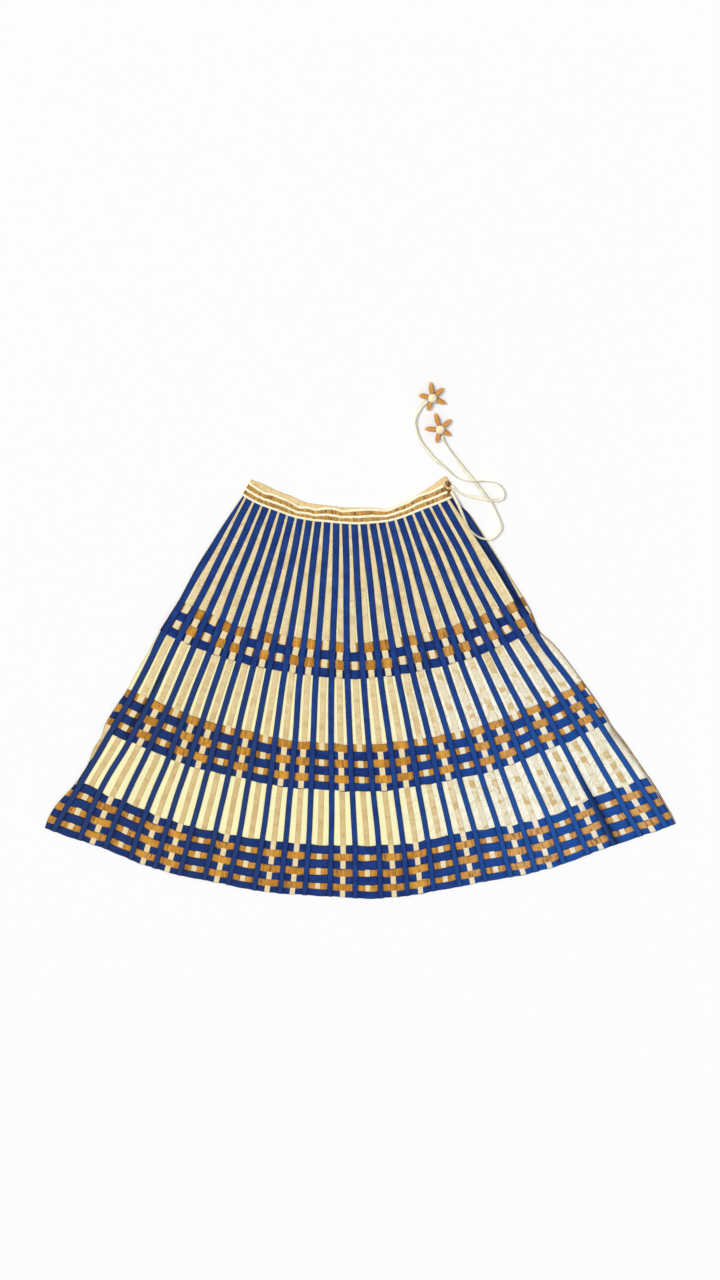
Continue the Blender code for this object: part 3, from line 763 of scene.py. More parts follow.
def back_ribbon_work():
    """The back panel's outer face: the same ribbons, flat against the surface it lies on.

    Its pattern runs across in degrees, not in millimetres.
    """
    cloth = Cloth("back ribbon work", 0.6, sheen=0.15, specular=0.35)
    along = cloth.along
    pitch = math.radians(RIBBON_PITCH)
    aside = calc("PINGPONG", cloth.across / RIBBON_PITCH, 0.5) * pitch * along
    on_tan = calc("LESS_THAN", along * (pitch / 2) - aside, RIBBON_WIDTH / 2)
    cloth.colour = mix_colour(on_tan, linear(252, 248, 206), linear(226, 199, 139))
    colours = {"blue": linear(28, 56, 130), "bronze": linear(199, 132, 44)}
    for band in BANDS.values():
        rows = (along - band["start"]) / (sum(band["rows"]) / len(band["rows"]))
        odd = calc("FLOORED_MODULO", calc("FLOOR", rows), 2.0)
        first, second = [colours[row_colour(band, row)] for row in (0, 1)]
        inside = calc("GREATER_THAN", along, band["start"])
        inside = inside * calc("LESS_THAN", along, band_end(band) + 1.0)
        cloth.tint(inside, mix_colour(odd, first, second))
    cloth.tint(calc("LESS_THAN", aside, RIBBON_WIDTH / 2), linear(34, 64, 146))
    weave = cloth.place(WEAVE, Across=cloth.across * 14.0, Along=along)
    return cloth.finish(weave["Height"], 0.0002)


def petal_silk():
    """Satin in long soft creases, with painted shade where the petals carry it."""
    cloth = Cloth("petal silk", 0.4, sheen=0.1, specular=0.3)
    crush = cloth.on_pattern(CRUSH, Width=4.0, Length=11.0)
    weave = cloth.on_pattern(WEAVE, Thread=0.35)
    tone = soft_step(crush["Value"], 0.35, 0.7)
    cloth.colour = mix_colour(tone, linear(226, 156, 68), linear(248, 186, 102))
    cloth.tint(cloth.carried("deep"), linear(138, 84, 32))
    return cloth.finish(weave["Height"] * 0.15 + crush["Value"], 0.0003)


FINISHES = {
    "cream": cream_silk(),
    "tan": tan_silk(),
    "bronze": bronze_silk("bronze ribbon", linear(222, 156, 46), linear(190, 127, 24)),
    "waist_bronze": bronze_silk(
        "gathered bronze", linear(220, 172, 90), linear(184, 132, 50), gather=0.04
    ),
    "blue": blue_grosgrain(
        "blue ribbon", linear(25, 54, 119), linear(31, 67, 137), linear(39, 61, 112),
        linear(34, 86, 164), stitched=True,
    ),
    "row_blue": blue_grosgrain(
        "blue row", linear(20, 48, 113), linear(28, 60, 132), linear(28, 53, 107),
        linear(26, 80, 162), stitched=False,
    ),
    "piping": plain_cloth("piping", linear(254, 251, 218), linear(240, 226, 176), 0.45),
    "facing": plain_cloth("facing", linear(243, 218, 164), linear(200, 158, 104)),
    "satin": plain_cloth("cord satin", linear(254, 252, 222), linear(205, 186, 160), 0.4),
    "petal": petal_silk(),
    "button": plain_cloth("button cloth", linear(254, 240, 206), linear(238, 216, 170)),
    "back": back_ribbon_work(),
}

# Making the pieces

# Where a ribbon's mesh has its columns, and the cells across and along each sheet.
RIBBON_COLUMNS = (0.0, 0.05, 0.35, 0.65, 0.95, 1.0)
FRONT_CELLS = (260, 150)
BACK_CELLS = (120, 80)
CORE_CELLS = (130, 6)
STRIPE_CELLS = (420, 7)
FACING_CELLS = (150, 16)
BLUE_CELLS = 300
TAN_CELL = 3.3
ROW_CELLS = 6
PIPING_CELLS = 170
END_CELLS = 12
BACK_WALL = 0.55
FACING_WALL = 0.5


def finish_piece(name, cloth, material, replaced=(), wall=None, extra=()):
    """Turns a built mesh into a piece that rides on the skirt."""
    data = bpy.data.meshes.new(name)
    cloth.to_mesh(data)
    cloth.free()
    for finish in (material, *extra):
        data.materials.append(FINISHES[finish])
    data.shade_smooth()
    made = bpy.data.objects.new(name, data)
    bpy.context.scene.collection.objects.link(made)
    if wall:
        thicken = made.modifiers.new("wall", "SOLIDIFY")
        thicken.thickness = wall * MM
        thicken.offset = -1.0
        thicken.use_even_offset = False
        thicken.material_offset = 1 if extra else 0
        thicken.material_offset_rim = 0
    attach(made, "root")
    if replaced:
        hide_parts(*replaced)
    return made


def grid(across, along, shape, across_at=None):
    """A sheet of across by along cells. shape(s, t) gives its points, pattern and shades.

    s runs from 0 at the left to 1 at the right, and t from 0 at the waist to 1 at the hem.
    """
    cloth = bmesh.new()
    uv = cloth.loops.layers.uv.new("cloth")
    bmesh.ops.create_grid(cloth, x_segments=across, y_segments=along, size=0.5)
    cloth.verts.ensure_lookup_table()
    s = np.array([v.co.x for v in cloth.verts]) + 0.5
    t = 0.5 - np.array([v.co.y for v in cloth.verts])
    if across_at is not None:
        s = np.array(across_at)[np.rint(s * across).astype(int)]
    points, pattern, shades = shape(s, t)
    layers = {name: cloth.verts.layers.float.new(name) for name in shades}
    for number, vert in enumerate(cloth.verts):
        vert.co = points[number]
        for name, layer in layers.items():
            vert[layer] = shades[name][number]
    for face in cloth.faces:
        for loop in face.loops:
            loop[uv].uv = pattern[loop.vert.index]
    return cloth


def painted_crease_shade(angle, nominal):
    """Painted shade in the creases, from 0 to 1: the valley by the right side fold and a fold on
    each side.
    """
    valley = ramp(31.6, 31.75, angle) * ramp(33.1, 31.9, angle)
    valley = valley * plateau(400.0, 640.0, 60.0, nominal)
    left = np.exp(-(((angle + 29.9 + (nominal - 900.0) * 0.003) / 0.3) ** 2))
    left = left * plateau(830.0, 985.0, 50.0, nominal)
    right = np.exp(-(((angle - 27.1) / 0.4) ** 2)) * ramp(1040.0, 1180.0, nominal)
    return np.clip(0.8 * valley + 0.8 * left + 0.75 * right, 0.0, 0.9)


def side_shade(angle, nominal):
    """The shade that gathers where the cloth turns down at a side fold, from 0 to 1."""
    left = np.radians(angle - side("left", nominal)) * nominal
    right = np.radians(side("right", nominal) - angle) * nominal
    ragged = 1.0 + 0.5 * np.sin(nominal / 19.0 + 2.0 * np.sin(nominal / 53.0))
    wide = 2.2 + 7.5 * ragged * plateau(1020.0, 1170.0, 60.0, nominal)
    shade = 0.6 * np.exp(-np.maximum(left, 0.0) / 1.8)
    near = np.exp(-((np.maximum(right, 0.0) / wide) ** 1.5))
    return np.minimum(shade + (0.85 - 0.5 * plateau(490.0, 640.0, 30.0, nominal)) * near, 0.9)


def painted_sheen_and_crush(angle, nominal):
    """The silk is more crushed, with more painted whitish sheen, towards the right, below the upper
    band.
    """
    return 0.16 + 0.78 * ramp(1.0, 18.0, angle) * ramp(520.0, 850.0, nominal)


def painted_blue_light(angle, nominal):
    """Painted light on the blue: duller as painted shade low on the left, more vivid as painted
    sheen low on the right.
    """
    return {
        "dull": 0.8 * ramp(-2.0, -18.0, angle) * ramp(680.0, 900.0, nominal),
        "vivid": 0.9 * ramp(1.0, 24.0, angle) * ramp(600.0, 1200.0, nominal),
    }


def front_cloth():
    def shape(s, t):
        nominal = SEAM + t * (HEM - SEAM)
        left, right = side("left", nominal), side("right", nominal)
        angle = left + s * (right - left)
        height = FRONT_TOP - hem_fall(nominal, CLOTH_DROP)
        points = lay(angle, nominal, height)
        arc = np.radians(angle) * nominal
        # Painted shade in the creases and at the side folds, and a painted whitish sheen where the
        # silk is crushed; the cream is also whiter in the upper middle.
        deep = np.maximum(0.5 * painted_crease_shade(angle, nominal), side_shade(angle, nominal))
        white = 0.3 * ramp(-16.0, -4.0, angle) * ramp(1010.0, 880.0, nominal)
        shades = {"crush": np.maximum(painted_sheen_and_crush(angle, nominal), white), "deep": deep}
        return points, np.column_stack((arc, nominal)) * MM, shades

    return finish_piece(
        "front_cloth", grid(*FRONT_CELLS, shape), "cream", ("skirt_front",),
        CLOTH_WALL,
    )


def back_cloth():
    def shape(s, t):
        nominal = SEAM + t * (HEM - SEAM)
        inset = np.degrees(FOLD_ROUND / nominal)
        left, right = side("left", nominal) + inset, side("right", nominal) - inset
        angle = left + s * (right - left)
        x, y = flat(angle, radius(angle, nominal) - 0.5 * t)
        crease = 0.35 * np.sin(angle * 1.3 + nominal / 210.0) * np.sin(nominal / 97.0 + angle / 5.0)
        z = BACK_TOP - 0.2 + 0.2 * crease
        points = APEX + np.column_stack((x, y, z)) * MM
        shades = {"crush": 0.3 + 0.0 * s, "deep": 0.0 * s}
        return points, np.column_stack((angle, nominal)) * MM, shades

    return finish_piece(
        "back_cloth", grid(*BACK_CELLS, shape), "cream", ("skirt_back",), BACK_WALL,
        extra=("back",),
    )


def ribbon_wander(number, nominal):
    """How far a blue or tan ribbon strays sideways from its line, in millimetres."""
    loose = 0.4 + 0.5 * ramp(4.0, 9.0, np.abs(number) + 0.0 * nominal)
    slow = np.sin(nominal / 61.0 + 2.4 * number) * 0.7
    quick = np.sin(nominal / 23.0 + 1.3 * number + 2.0 * np.sin(number)) * 0.3
    return loose * (slow + quick) * ramp(SEAM, SEAM + 60.0, nominal)


def over_bands(nominal):
    """1 where a blue ribbon lies on a woven band."""
    total = 0.0 * nominal
    for band in BANDS.values():
        low = band["start"] - STEP_CLEARANCE
        high = band_end(band) + STEP_CLEARANCE + (PAST_HEM if band_end(band) >= HEM else 0.0)
        total = total + plateau(low, high, BAND_STEP, nominal)
    return total


def blue_ribbon(number):
    def shape(s, t):
        nominal = SEAM + BLUE_START + t * (HEM - SEAM - BLUE_START)
        wander = ribbon_wander(number, nominal)
        angle, aside, real = ribbon_across(number * RIBBON_PITCH, nominal, s, wander)
        height = BLUE_LOW + (BLUE_HIGH - BLUE_LOW) * over_bands(nominal)
        height = height - 0.25 * np.abs(2.0 * s - 1.0) ** 6
        height = height - hem_fall(nominal, RIBBON_DROP)
        points = lay(angle, nominal, height)
        # Painted shade in the creases and at the side folds, and the blue's painted light low on
        # each side.
        deep = np.maximum(painted_crease_shade(angle, nominal), 0.8 * side_shade(angle, nominal))
        shades = {"deep": deep, "piece": number + 0.0 * s, **painted_blue_light(angle, nominal)}
        return points, np.column_stack((aside, real)) * MM, shades

    count = number + RIBBONS_EACH_SIDE + 1
    name, node_name = f"blue_ribbon_{count:02d}", f"radial_ribbon_{count:02d}"
    cloth = grid(len(RIBBON_COLUMNS) - 1, BLUE_CELLS, shape, RIBBON_COLUMNS)
    return finish_piece(name, cloth, "blue", (node_name,), RIBBON_WALL)


# The first tan ribbon shows only where the left side fold rolls over, and the last one starts
# below the waist seam. TAN_PHASE makes a tan ribbon stray in its own way.
TURNED_TAN = -33.05
TURNED_TAN_REACH = (1000.0, 1200.0)
LAST_TAN_START = 400.0
TAN_PHASE = 13.3


def tan_height(gap, nominal):
    """A tan ribbon's height as it passes over and under the rows of each band."""
    height = TAN_LOW + 0.0 * nominal
    over_kind = "blue" if bool(is_x(np.array(gap))) else "bronze"
    for band in BANDS.values():
        for row in range(len(band["rows"])):
            if row_colour(band, row) != over_kind:
                continue
            inner, outer = row_span(band, row)
            last = row == len(band["rows"]) - 1 and outer >= HEM
            outer += PAST_HEM if last else 0.0
            over = plateau(inner + TAN_STEP_INSET, outer - TAN_STEP_INSET, TAN_STEP, nominal)
            height = np.maximum(height, TAN_LOW + (TAN_HIGH - TAN_LOW) * over)
    return height


def tan_aside(gap, nominal):
    """Above the upper band a tan ribbon lies nearer the middle, so cream shows on one side."""
    most = 3.2 if gap == GAPS else 1.8 + 0.8 * float(chance(gap))
    near = ramp(400.0, 520.0, nominal) * ramp(690.0, 640.0, nominal)
    return most * near * (1.0 if gap < MIDDLE_GAP else -1.0)


def tan_ribbon(gap, start, end):
    def shape(s, t):
        nominal = start + t * (end - start)
        wander = 0.8 * ribbon_wander(gap - TAN_PHASE, nominal) + tan_aside(gap, nominal)
        middle = TURNED_TAN if gap == 1 else (gap - MIDDLE_GAP) * RIBBON_PITCH
        angle, aside, real = ribbon_across(middle, nominal, s, wander)
        height = tan_height(gap, nominal) - 0.1 * np.abs(2.0 * s - 1.0) ** 4
        height = height - hem_fall(nominal, RIBBON_DROP)
        points = lay(angle, nominal, height)
        # A painted whitish sheen where crushed, a painted highlight where the ribbon is raised over
        # a row, and painted shade at the side folds.
        shades = {
            "crush": painted_sheen_and_crush(angle, nominal),
            "far": ramp(450.0, 1150.0, nominal),
            "raised": (tan_height(gap, nominal) - TAN_LOW) / (TAN_HIGH - TAN_LOW),
            "piece": gap + 0.0 * s,
            "deep": 0.9 * side_shade(angle, nominal),
        }
        return points, np.column_stack((aside, real)) * MM, shades

    steps = round((end - start) / TAN_CELL)
    cloth = grid(len(RIBBON_COLUMNS) - 1, steps, shape, RIBBON_COLUMNS)
    return finish_piece(f"tan_ribbon_{gap:02d}", cloth, "tan", (), RIBBON_WALL)


# In each band: how far a row sags between two blue ribbons, and how much wider a bronze row is
# where it passes over a tan ribbon.
BAR_SAG = (1.0, 1.8, 2.4)
BAR_BULGE = (1.2, 1.2, 0.6)
# Columns of a row's mesh, in millimetres from the middle of each blue ribbon, and as shares of
# the way from one ribbon to the next.
BESIDE_RIBBON = (-11.0, -8.6, -6.9, 0.0, 6.9, 8.6, 11.0)
BETWEEN_RIBBONS = (0.34, 0.42, 0.5, 0.58, 0.66)


def bar_sag(gap, part, row, band_number):
    """How a row hangs between two blue ribbons: its edge's shift outwards in millimetres."""
    loose = np.where(is_x(gap), 1.0, 0.75)
    sag = BAR_SAG[band_number] * (1.0 + 0.8 * chance(gap, row, band_number))
    sag = sag * np.sin(math.pi * part) ** 2
    tilt = 1.4 * chance(row, gap + 3, band_number) * np.sin(2 * math.pi * part)
    return loose * (sag + tilt)


def row_columns(middle):
    """Where a row's columns lie, from 0 to 1, close together beside the blue ribbons."""
    reach = RIBBONS_EACH_SIDE * RIBBON_PITCH
    turns = []
    for number in range(-RIBBONS_EACH_SIDE, RIBBONS_EACH_SIDE + 1):
        angle = number * RIBBON_PITCH
        turns += [(angle + math.degrees(mm / middle)) / reach for mm in BESIDE_RIBBON]
        turns += [(angle + part * RIBBON_PITCH) / reach for part in BETWEEN_RIBBONS]
    least, most = side("left", middle), side("right", middle)
    places = [(turn * reach - least) / (most - least) for turn in turns]
    return [0.0, *sorted(place for place in places if 0.002 < place < 0.998), 1.0]


def beside_ribbon(angle, part, nominal):
    """The shade on a row close beside a blue ribbon, from 0 to 1."""
    from_middle = np.minimum(part, 1.0 - part) * math.radians(RIBBON_PITCH) * nominal
    strength = 0.62 + 0.3 * chance(np.round(angle / RIBBON_PITCH), np.floor(nominal / 30.0))
    return strength * np.exp(-np.maximum(from_middle - RIBBON_WIDTH / 2, 0.0) / 2.4)


def woven_row(band_name, row):
    band = BANDS[band_name]
    band_number = list(BANDS).index(band_name)
    colour = row_colour(band, row)
    inner, outer = row_span(band, row)
    last = row == len(band["rows"]) - 1
    hem = last and outer >= HEM
    inner -= ROW_OVERLAP if row else 0.0
    outer += 0.0 if last else ROW_OVERLAP

    def shape(s, t):
        nominal = inner + t * (outer - inner)
        least, most = side("left", nominal), side("right", nominal)
        reach = RIBBONS_EACH_SIDE * RIBBON_PITCH
        start = least + (-reach - swayed(-reach + 0.0 * nominal, nominal))
        end = most + (reach - swayed(reach + 0.0 * nominal, nominal))
        angle = start + s * (end - start)
        gap, part = gap_of(angle)
        loose = np.sin(math.pi * part) ** 2
        shift = bar_sag(gap, part, row, band_number) * (0.6 if hem else 1.0)
        on_top = is_x(gap) == (colour == "bronze")
        wider = np.where(is_x(gap), np.where(on_top, BAR_BULGE[band_number], -0.4), 0.1)
        bulge = wider * loose * (2.0 * t - 1.0)
        spread = nominal + shift + bulge * (0.0 if hem else 1.0)
        lift = np.where(on_top, 1.0, 0.0) * ramp(0.0, 0.12, part) * ramp(1.0, 0.88, part)
        height = ROW_LOW + (ROW_HIGH - ROW_LOW) * lift
        height = height + 0.35 * loose * (1.0 - (2.0 * t - 1.0) ** 4) * lift
        height = height + 0.1 * chance(gap, row + 5, band_number) * loose
        if hem:
            height = height - hem_fall(nominal, RIBBON_DROP)
        laid = np.clip(swayed(angle, nominal), least, most)
        points = lay(laid, spread, height)
        arc = np.radians(angle) * (inner + outer) / 2
        tone = 0.5 + 0.5 * chance(gap, row, band_number + 7)
        # A paler painted sheen towards the right; painted shade at the row's edges (rim), in the
        # creases, at the side folds and beside each blue ribbon; the blue's painted light. The tone
        # varies at random.
        shades = {
            "tone": tone * loose + 0.5 * (1.0 - loose),
            "crush": ramp(4.0, 20.0, angle) * (0.55 + 0.45 * ramp(1000.0, 1200.0, nominal)),
            "piece": row + 10.0 * band_number + 0.0 * s,
            "rim": np.abs(2.0 * t - 1.0),
            "deep": np.clip(
                painted_crease_shade(laid, nominal) + 0.7 * side_shade(laid, nominal)
                + beside_ribbon(angle, part, nominal), 0.0, 0.9,
            ),
            **painted_blue_light(laid, nominal),
        }
        across = (t - 0.5) * (outer - inner)
        return points, np.column_stack((across, arc)) * MM, shades

    name = f"{colour}_row_{band_name}_{row + 1}"
    node_name = f"woven_ribbon_{band_name}_{row + 1}"
    finish = "bronze" if colour == "bronze" else "row_blue"
    columns = row_columns((inner + outer) / 2)
    cloth = grid(len(columns) - 1, ROW_CELLS, shape, columns)
    return finish_piece(name, cloth, finish, (node_name,), RIBBON_WALL)


# The waistband

# The stripes' widths, up from the seam: cream pipings, with bronze between them.
STRIPES = (5.3, 9.2, 5.6, 9.8, 5.2)
PIPINGS = (0, 2, 4)
BRONZE_STRIPES = (1, 3)
BAND_BASE = 1.35
BAND_CORE_TOP = 2.6
PIPING_TOP = 4.0
BRONZE_TOP = 3.1
GATHER_HEIGHT = 0.28
STRIPE_CROWN = 0.35
WRINKLE_FALL = 0.55
# Degrees by which the core and the stripes end short of the band's ends, and the share of the
# band's depth by which a stripe reaches under its pipings.
CORE_INSET = 0.2
STRIPE_INSET = 0.1
STRIPE_LAP = 0.02

# Deep wrinkles in the bronze stripes: the angle, the width in degrees, the stripe and the depth.
WRINKLE_COLUMNS = ("angle", "width", "stripe", "depth")
WRINKLES = (
    (-31.8, 0.5, 1, 0.9),
    (-31.9, 0.4, 3, 0.9),
    (-24.6, 0.5, 3, 0.8),
    (-23.6, 0.3, 3, 0.7),
    (-20.9, 0.4, 1, 0.6),
    (-18.0, 0.3, 1, 0.6),
    (-11.0, 0.5, 3, 0.5),
    (-6.1, 0.35, 3, 1.0),
    (-4.9, 0.3, 1, 0.8),
    (-4.1, 0.3, 3, 0.7),
    (-4.1, 0.3, 1, 0.9),
    (-2.9, 0.25, 3, 0.8),
    (0.4, 0.3, 1, 0.5),
    (3.2, 0.4, 3, 0.6),
    (5.5, 0.35, 1, 0.5),
    (8.1, 0.4, 3, 1.0),
    (8.6, 0.3, 1, 0.6),
    (12.6, 0.3, 1, 0.6),
    (16.4, 0.4, 3, 0.6),
    (21.3, 0.35, 3, 0.9),
    (25.3, 0.4, 3, 0.7),
    (25.6, 0.4, 1, 0.7),
    (29.3, 0.3, 3, 0.5),
    (31.6, 0.7, 3, 0.9),
    (31.6, 0.6, 1, 0.9),
)


def band_wave(angle):
    """The pipings' small waves, in millimetres up the band."""
    return 0.35 * np.sin(angle * 0.9 + 0.6) + 0.25 * np.sin(angle * 2.3 + 1.0)


def band_distance(angle, up):
    """The radius of a place on the band, from 0 at the seam to 1 at the front's top."""
    inside = np.clip(up * (1.0 - up) * 4.0, 0.0, 1.0)
    distance = (1.0 - up) * waist("seam", angle) + up * waist("front_top", angle)
    return distance - band_wave(angle) * inside


def band_points(angle, distance, height):
    x, y = flat(angle, distance)
    return APEX + np.column_stack((x, y, height)) * MM


def waistband_core():
    def shape(s, t):
        angle = BAND_LEFT + CORE_INSET + s * (BAND_RIGHT - BAND_LEFT - 2 * CORE_INSET)
        distance = band_distance(angle, 0.98 - 0.96 * t)
        points = band_points(angle, distance, BAND_CORE_TOP + 0.0 * s)
        arc = np.radians(angle) * distance
        return points, np.column_stack((arc, distance)) * MM, {"deep": 0.0 * s}

    return finish_piece(
        "waistband_core", grid(*CORE_CELLS, shape), "piping",
        ("waistband_front",), BAND_CORE_TOP - BAND_BASE,
    )


def stripe_span(number):
    """Between which shares of the band's depth a stripe lies, from 0 at the seam to 1."""
    before = sum(STRIPES[:number])
    return before / sum(STRIPES), (before + STRIPES[number]) / sum(STRIPES)


def bronze_stripe(number):
    low, high = stripe_span(number)
    rows = [row for row in records(WRINKLE_COLUMNS, WRINKLES) if row["stripe"] == number]

    def shape(s, t):
        angle = BAND_LEFT + STRIPE_INSET + s * (BAND_RIGHT - BAND_LEFT - 2 * STRIPE_INSET)
        up = high + STRIPE_LAP - t * (high - low + 2 * STRIPE_LAP)
        distance = band_distance(angle, up)
        gathers = np.sin(angle * 11.0 + 2.0 * np.sin(angle * 3.1) + number)
        gathers = gathers * np.sin(angle * 4.3 + number) * (0.6 + 0.4 * np.cos(3.0 * t + angle))
        height = BRONZE_TOP + GATHER_HEIGHT * gathers + STRIPE_CROWN * np.sin(math.pi * t)
        # Painted shade in each wrinkle, by its depth, and along the stripe's two edges.
        deep = 0.0 * s
        for row in rows:
            near = np.exp(-(((angle - row["angle"]) / row["width"]) ** 2))
            height = height - WRINKLE_FALL * row["depth"] * near
            deep = np.maximum(deep, row["depth"] * near * (0.55 + 0.45 * np.sin(math.pi * t)))
        edge = np.abs(2.0 * t - 1.0) ** 4
        deep = np.clip(np.maximum(0.8 * deep, 0.45 * edge), 0.0, 0.9)
        points = band_points(angle, distance, height)
        tone = 0.5 + 0.5 * np.sin(angle * 7.0 + 3.0 * np.sin(angle * 1.7) + number)
        arc = np.radians(angle) * distance
        across = (t - 0.5) * STRIPES[number]
        # A paler painted sheen towards the right.
        shades = {
            "deep": deep, "tone": tone, "piece": number + 0.0 * s,
            "crush": 0.6 * ramp(-8.0, 20.0, angle),
        }
        return points, np.column_stack((across, arc)) * MM, shades

    return finish_piece(
        f"waistband_bronze_{number}", grid(*STRIPE_CELLS, shape), "waist_bronze",
        (), RIBBON_WALL,
    )


def tube(name, steps, ring, material, replaced=(), around=14, painted_shade_and_marks_at=None):
    """A soft roll. ring(t) gives centres, side vectors and up vectors, with their half sizes."""

    def shape(s, t):
        centre, aside, up = ring(t)
        turn = s * math.tau
        points = centre + aside * np.cos(turn)[:, None] - up * np.sin(turn)[:, None]
        girth = np.linalg.norm(aside, axis=1) * math.pi
        pattern = np.column_stack(((s - 0.5) * girth, t * tube_length))
        return points, pattern, {"deep": painted_shade_and_marks_at(s, t) if painted_shade_and_marks_at else 0.0 * s}

    line = ring(np.linspace(0.0, 1.0, 200))[0]
    tube_length = float(np.linalg.norm(np.diff(line, axis=0), axis=1).sum())
    cloth = grid(around, steps, shape)
    bmesh.ops.remove_doubles(cloth, verts=cloth.verts, dist=1e-6)
    rim = [edge for edge in cloth.edges if edge.is_boundary]
    bmesh.ops.holes_fill(cloth, edges=rim, sides=around + 2)
    bmesh.ops.recalc_face_normals(cloth, faces=cloth.faces)
    return finish_piece(name, cloth, material, replaced)


def piping(number):
    low, high = stripe_span(number)
    half = STRIPES[number] / 2
    middle_up = (low + high) / 2

    def ring(t):
        angle = BAND_LEFT + t * (BAND_RIGHT - BAND_LEFT)
        distance = band_distance(angle, middle_up + 0.0 * t)
        swell = 1.0 + 0.05 * np.sin(angle * 2.9 + number)
        swell = swell * np.sqrt(np.clip(ramp(0.0, 0.012, t) * ramp(1.0, 0.988, t), 0.04, 1.0))
        centre = band_points(angle, distance, (BAND_BASE + PIPING_TOP) / 2 + 0.0 * t)
        turn = np.radians(angle)
        out = np.column_stack((np.sin(turn), -np.cos(turn), 0.0 * t))
        aside = out * (half * swell * MM)[:, None]
        up = np.column_stack((0.0 * t, 0.0 * t, swell * (PIPING_TOP - BAND_BASE) / 2 * MM))
        return centre, aside, up

    return tube(f"waistband_piping_{number}", PIPING_CELLS, ring, "piping")


def waistband_facing():
    """The band's back half: its inner face shows above the front half."""

    def shape(s, t):
        reach = BAND_RIGHT + (BACK_BAND_RIGHT_TOP - BAND_RIGHT) * (1.0 - t) ** 0.7
        reach = reach - 0.7 * ramp(0.08, 0.0, t)
        angle = BAND_LEFT + s * (reach - BAND_LEFT)
        distance = (1.0 - t) * waist("back_top", angle) + t * waist("seam", angle)
        fold = 0.25 * np.sin(angle * 1.9) * np.sin(angle * 0.7 + 3.0 * t)
        height = BACK_TOP + 0.1 + fold * 0.5 - 0.25 * ramp(0.05, 0.0, t)
        points = band_points(angle, distance, height)
        arc = np.radians(angle) * distance
        # A darker line just below the top, and painted shade where the top edge turns down.
        line = np.exp(-(((t - 0.09) / 0.02) ** 2))
        deep = np.clip(0.5 * line + 0.5 * ramp(0.035, 0.0, t), 0.0, 1.0)
        return points, np.column_stack((arc, distance)) * MM, {"deep": deep}

    return finish_piece(
        "waistband_facing", grid(*FACING_CELLS, shape), "facing",
        ("waistband_back",), FACING_WALL, extra=("piping",),
    )


# The turned-in ends of the waistband at the side opening: their places, half sizes and tops.
END_COLUMNS = ("angle", "radius", "half_long", "half_wide", "top")
ENDS = (
    (33.7, 356.0, 7.0, 4.4, 4.3),
    (32.6, 369.5, 4.5, 3.6, 4.0),
)


def waistband_ends():
    made = []
    for number, end in enumerate(records(END_COLUMNS, ENDS)):

        def ring(t, end=end):
            reach = end["half_long"] * (2.0 * t - 1.0)
            swell = np.sqrt(np.clip(1.0 - (2.0 * t - 1.0) ** 4, 0.02, 1.0))
            middle = (BAND_BASE + end["top"]) / 2
            centre = band_points(end["angle"] + 0.0 * t, end["radius"] + reach, middle + 0.0 * t)
            turn = math.radians(end["angle"])
            across = np.array((math.cos(turn), math.sin(turn), 0.0)) * end["half_wide"] * MM
            tall = (end["top"] - BAND_BASE) / 2 * MM
            up = np.column_stack((0.0 * t, 0.0 * t, tall * swell))
            return centre, across[None, :] * swell[:, None], up

        replaced = () if number else ("waistband_end",)
        # The tabs are painted a darker brown, in waves across them.
        made.append(
            tube(
                f"waistband_end_{number + 1}", END_CELLS, ring, "waist_bronze",
                replaced, painted_shade_and_marks_at=lambda s, t: 0.6 + 0.35 * np.sin(9.0 * t + 12.0 * s),
            )
        )
    return made


# The drawstring's two free ends

TAPE_WIDTH = 6.0
TAPE_THICK = 1.5
CORD_FLOOR = 0.12
CORD_SPACING = 2.0

# Routes of the cords from the side opening, in millimetres from the apex, and how far the tape
# has turned on edge at each point, in degrees.
CORD_COLUMNS = ("x", "y", "z", "turn")
LOWER_CORD_ROUTE = (
    (203.4, -310.8, 3.7, 10),
    (206.6, -316.6, 3.7, 5),
    (210.4, -323.6, 4.6, 0),
    (213.8, -330.2, 5.8, 5),
    (217.8, -338.2, 6.9, 12),
    (224.2, -353.1, 7.2, 25),
    (231.3, -369.8, 7.2, 45),
    (239.7, -386.9, 7.2, 60),
    (251.3, -399.2, 7.1, 70),
    (262.7, -406.8, 7, 74),
    (278.6, -410.9, 6, 76),
    (289.6, -407.5, 3, 72),
    (298.1, -398, 2.4, 66),
    (302, -386.1, 2.4, 66),
    (297.9, -371.6, 2.4, 72),
    (289.3, -352.4, 2.4, 74),
    (279.7, -334.6, 2.4, 60),
    (270.4, -323.9, 2.4, 35),
    (247.5, -293.4, 2.4, 5),
    (222.8, -263.3, 2.4, 25),
    (198.4, -229.3, 2.4, 72),
    (187.4, -212.6, 3, 50),
    (183.2, -203.4, 3.6, 15),
)
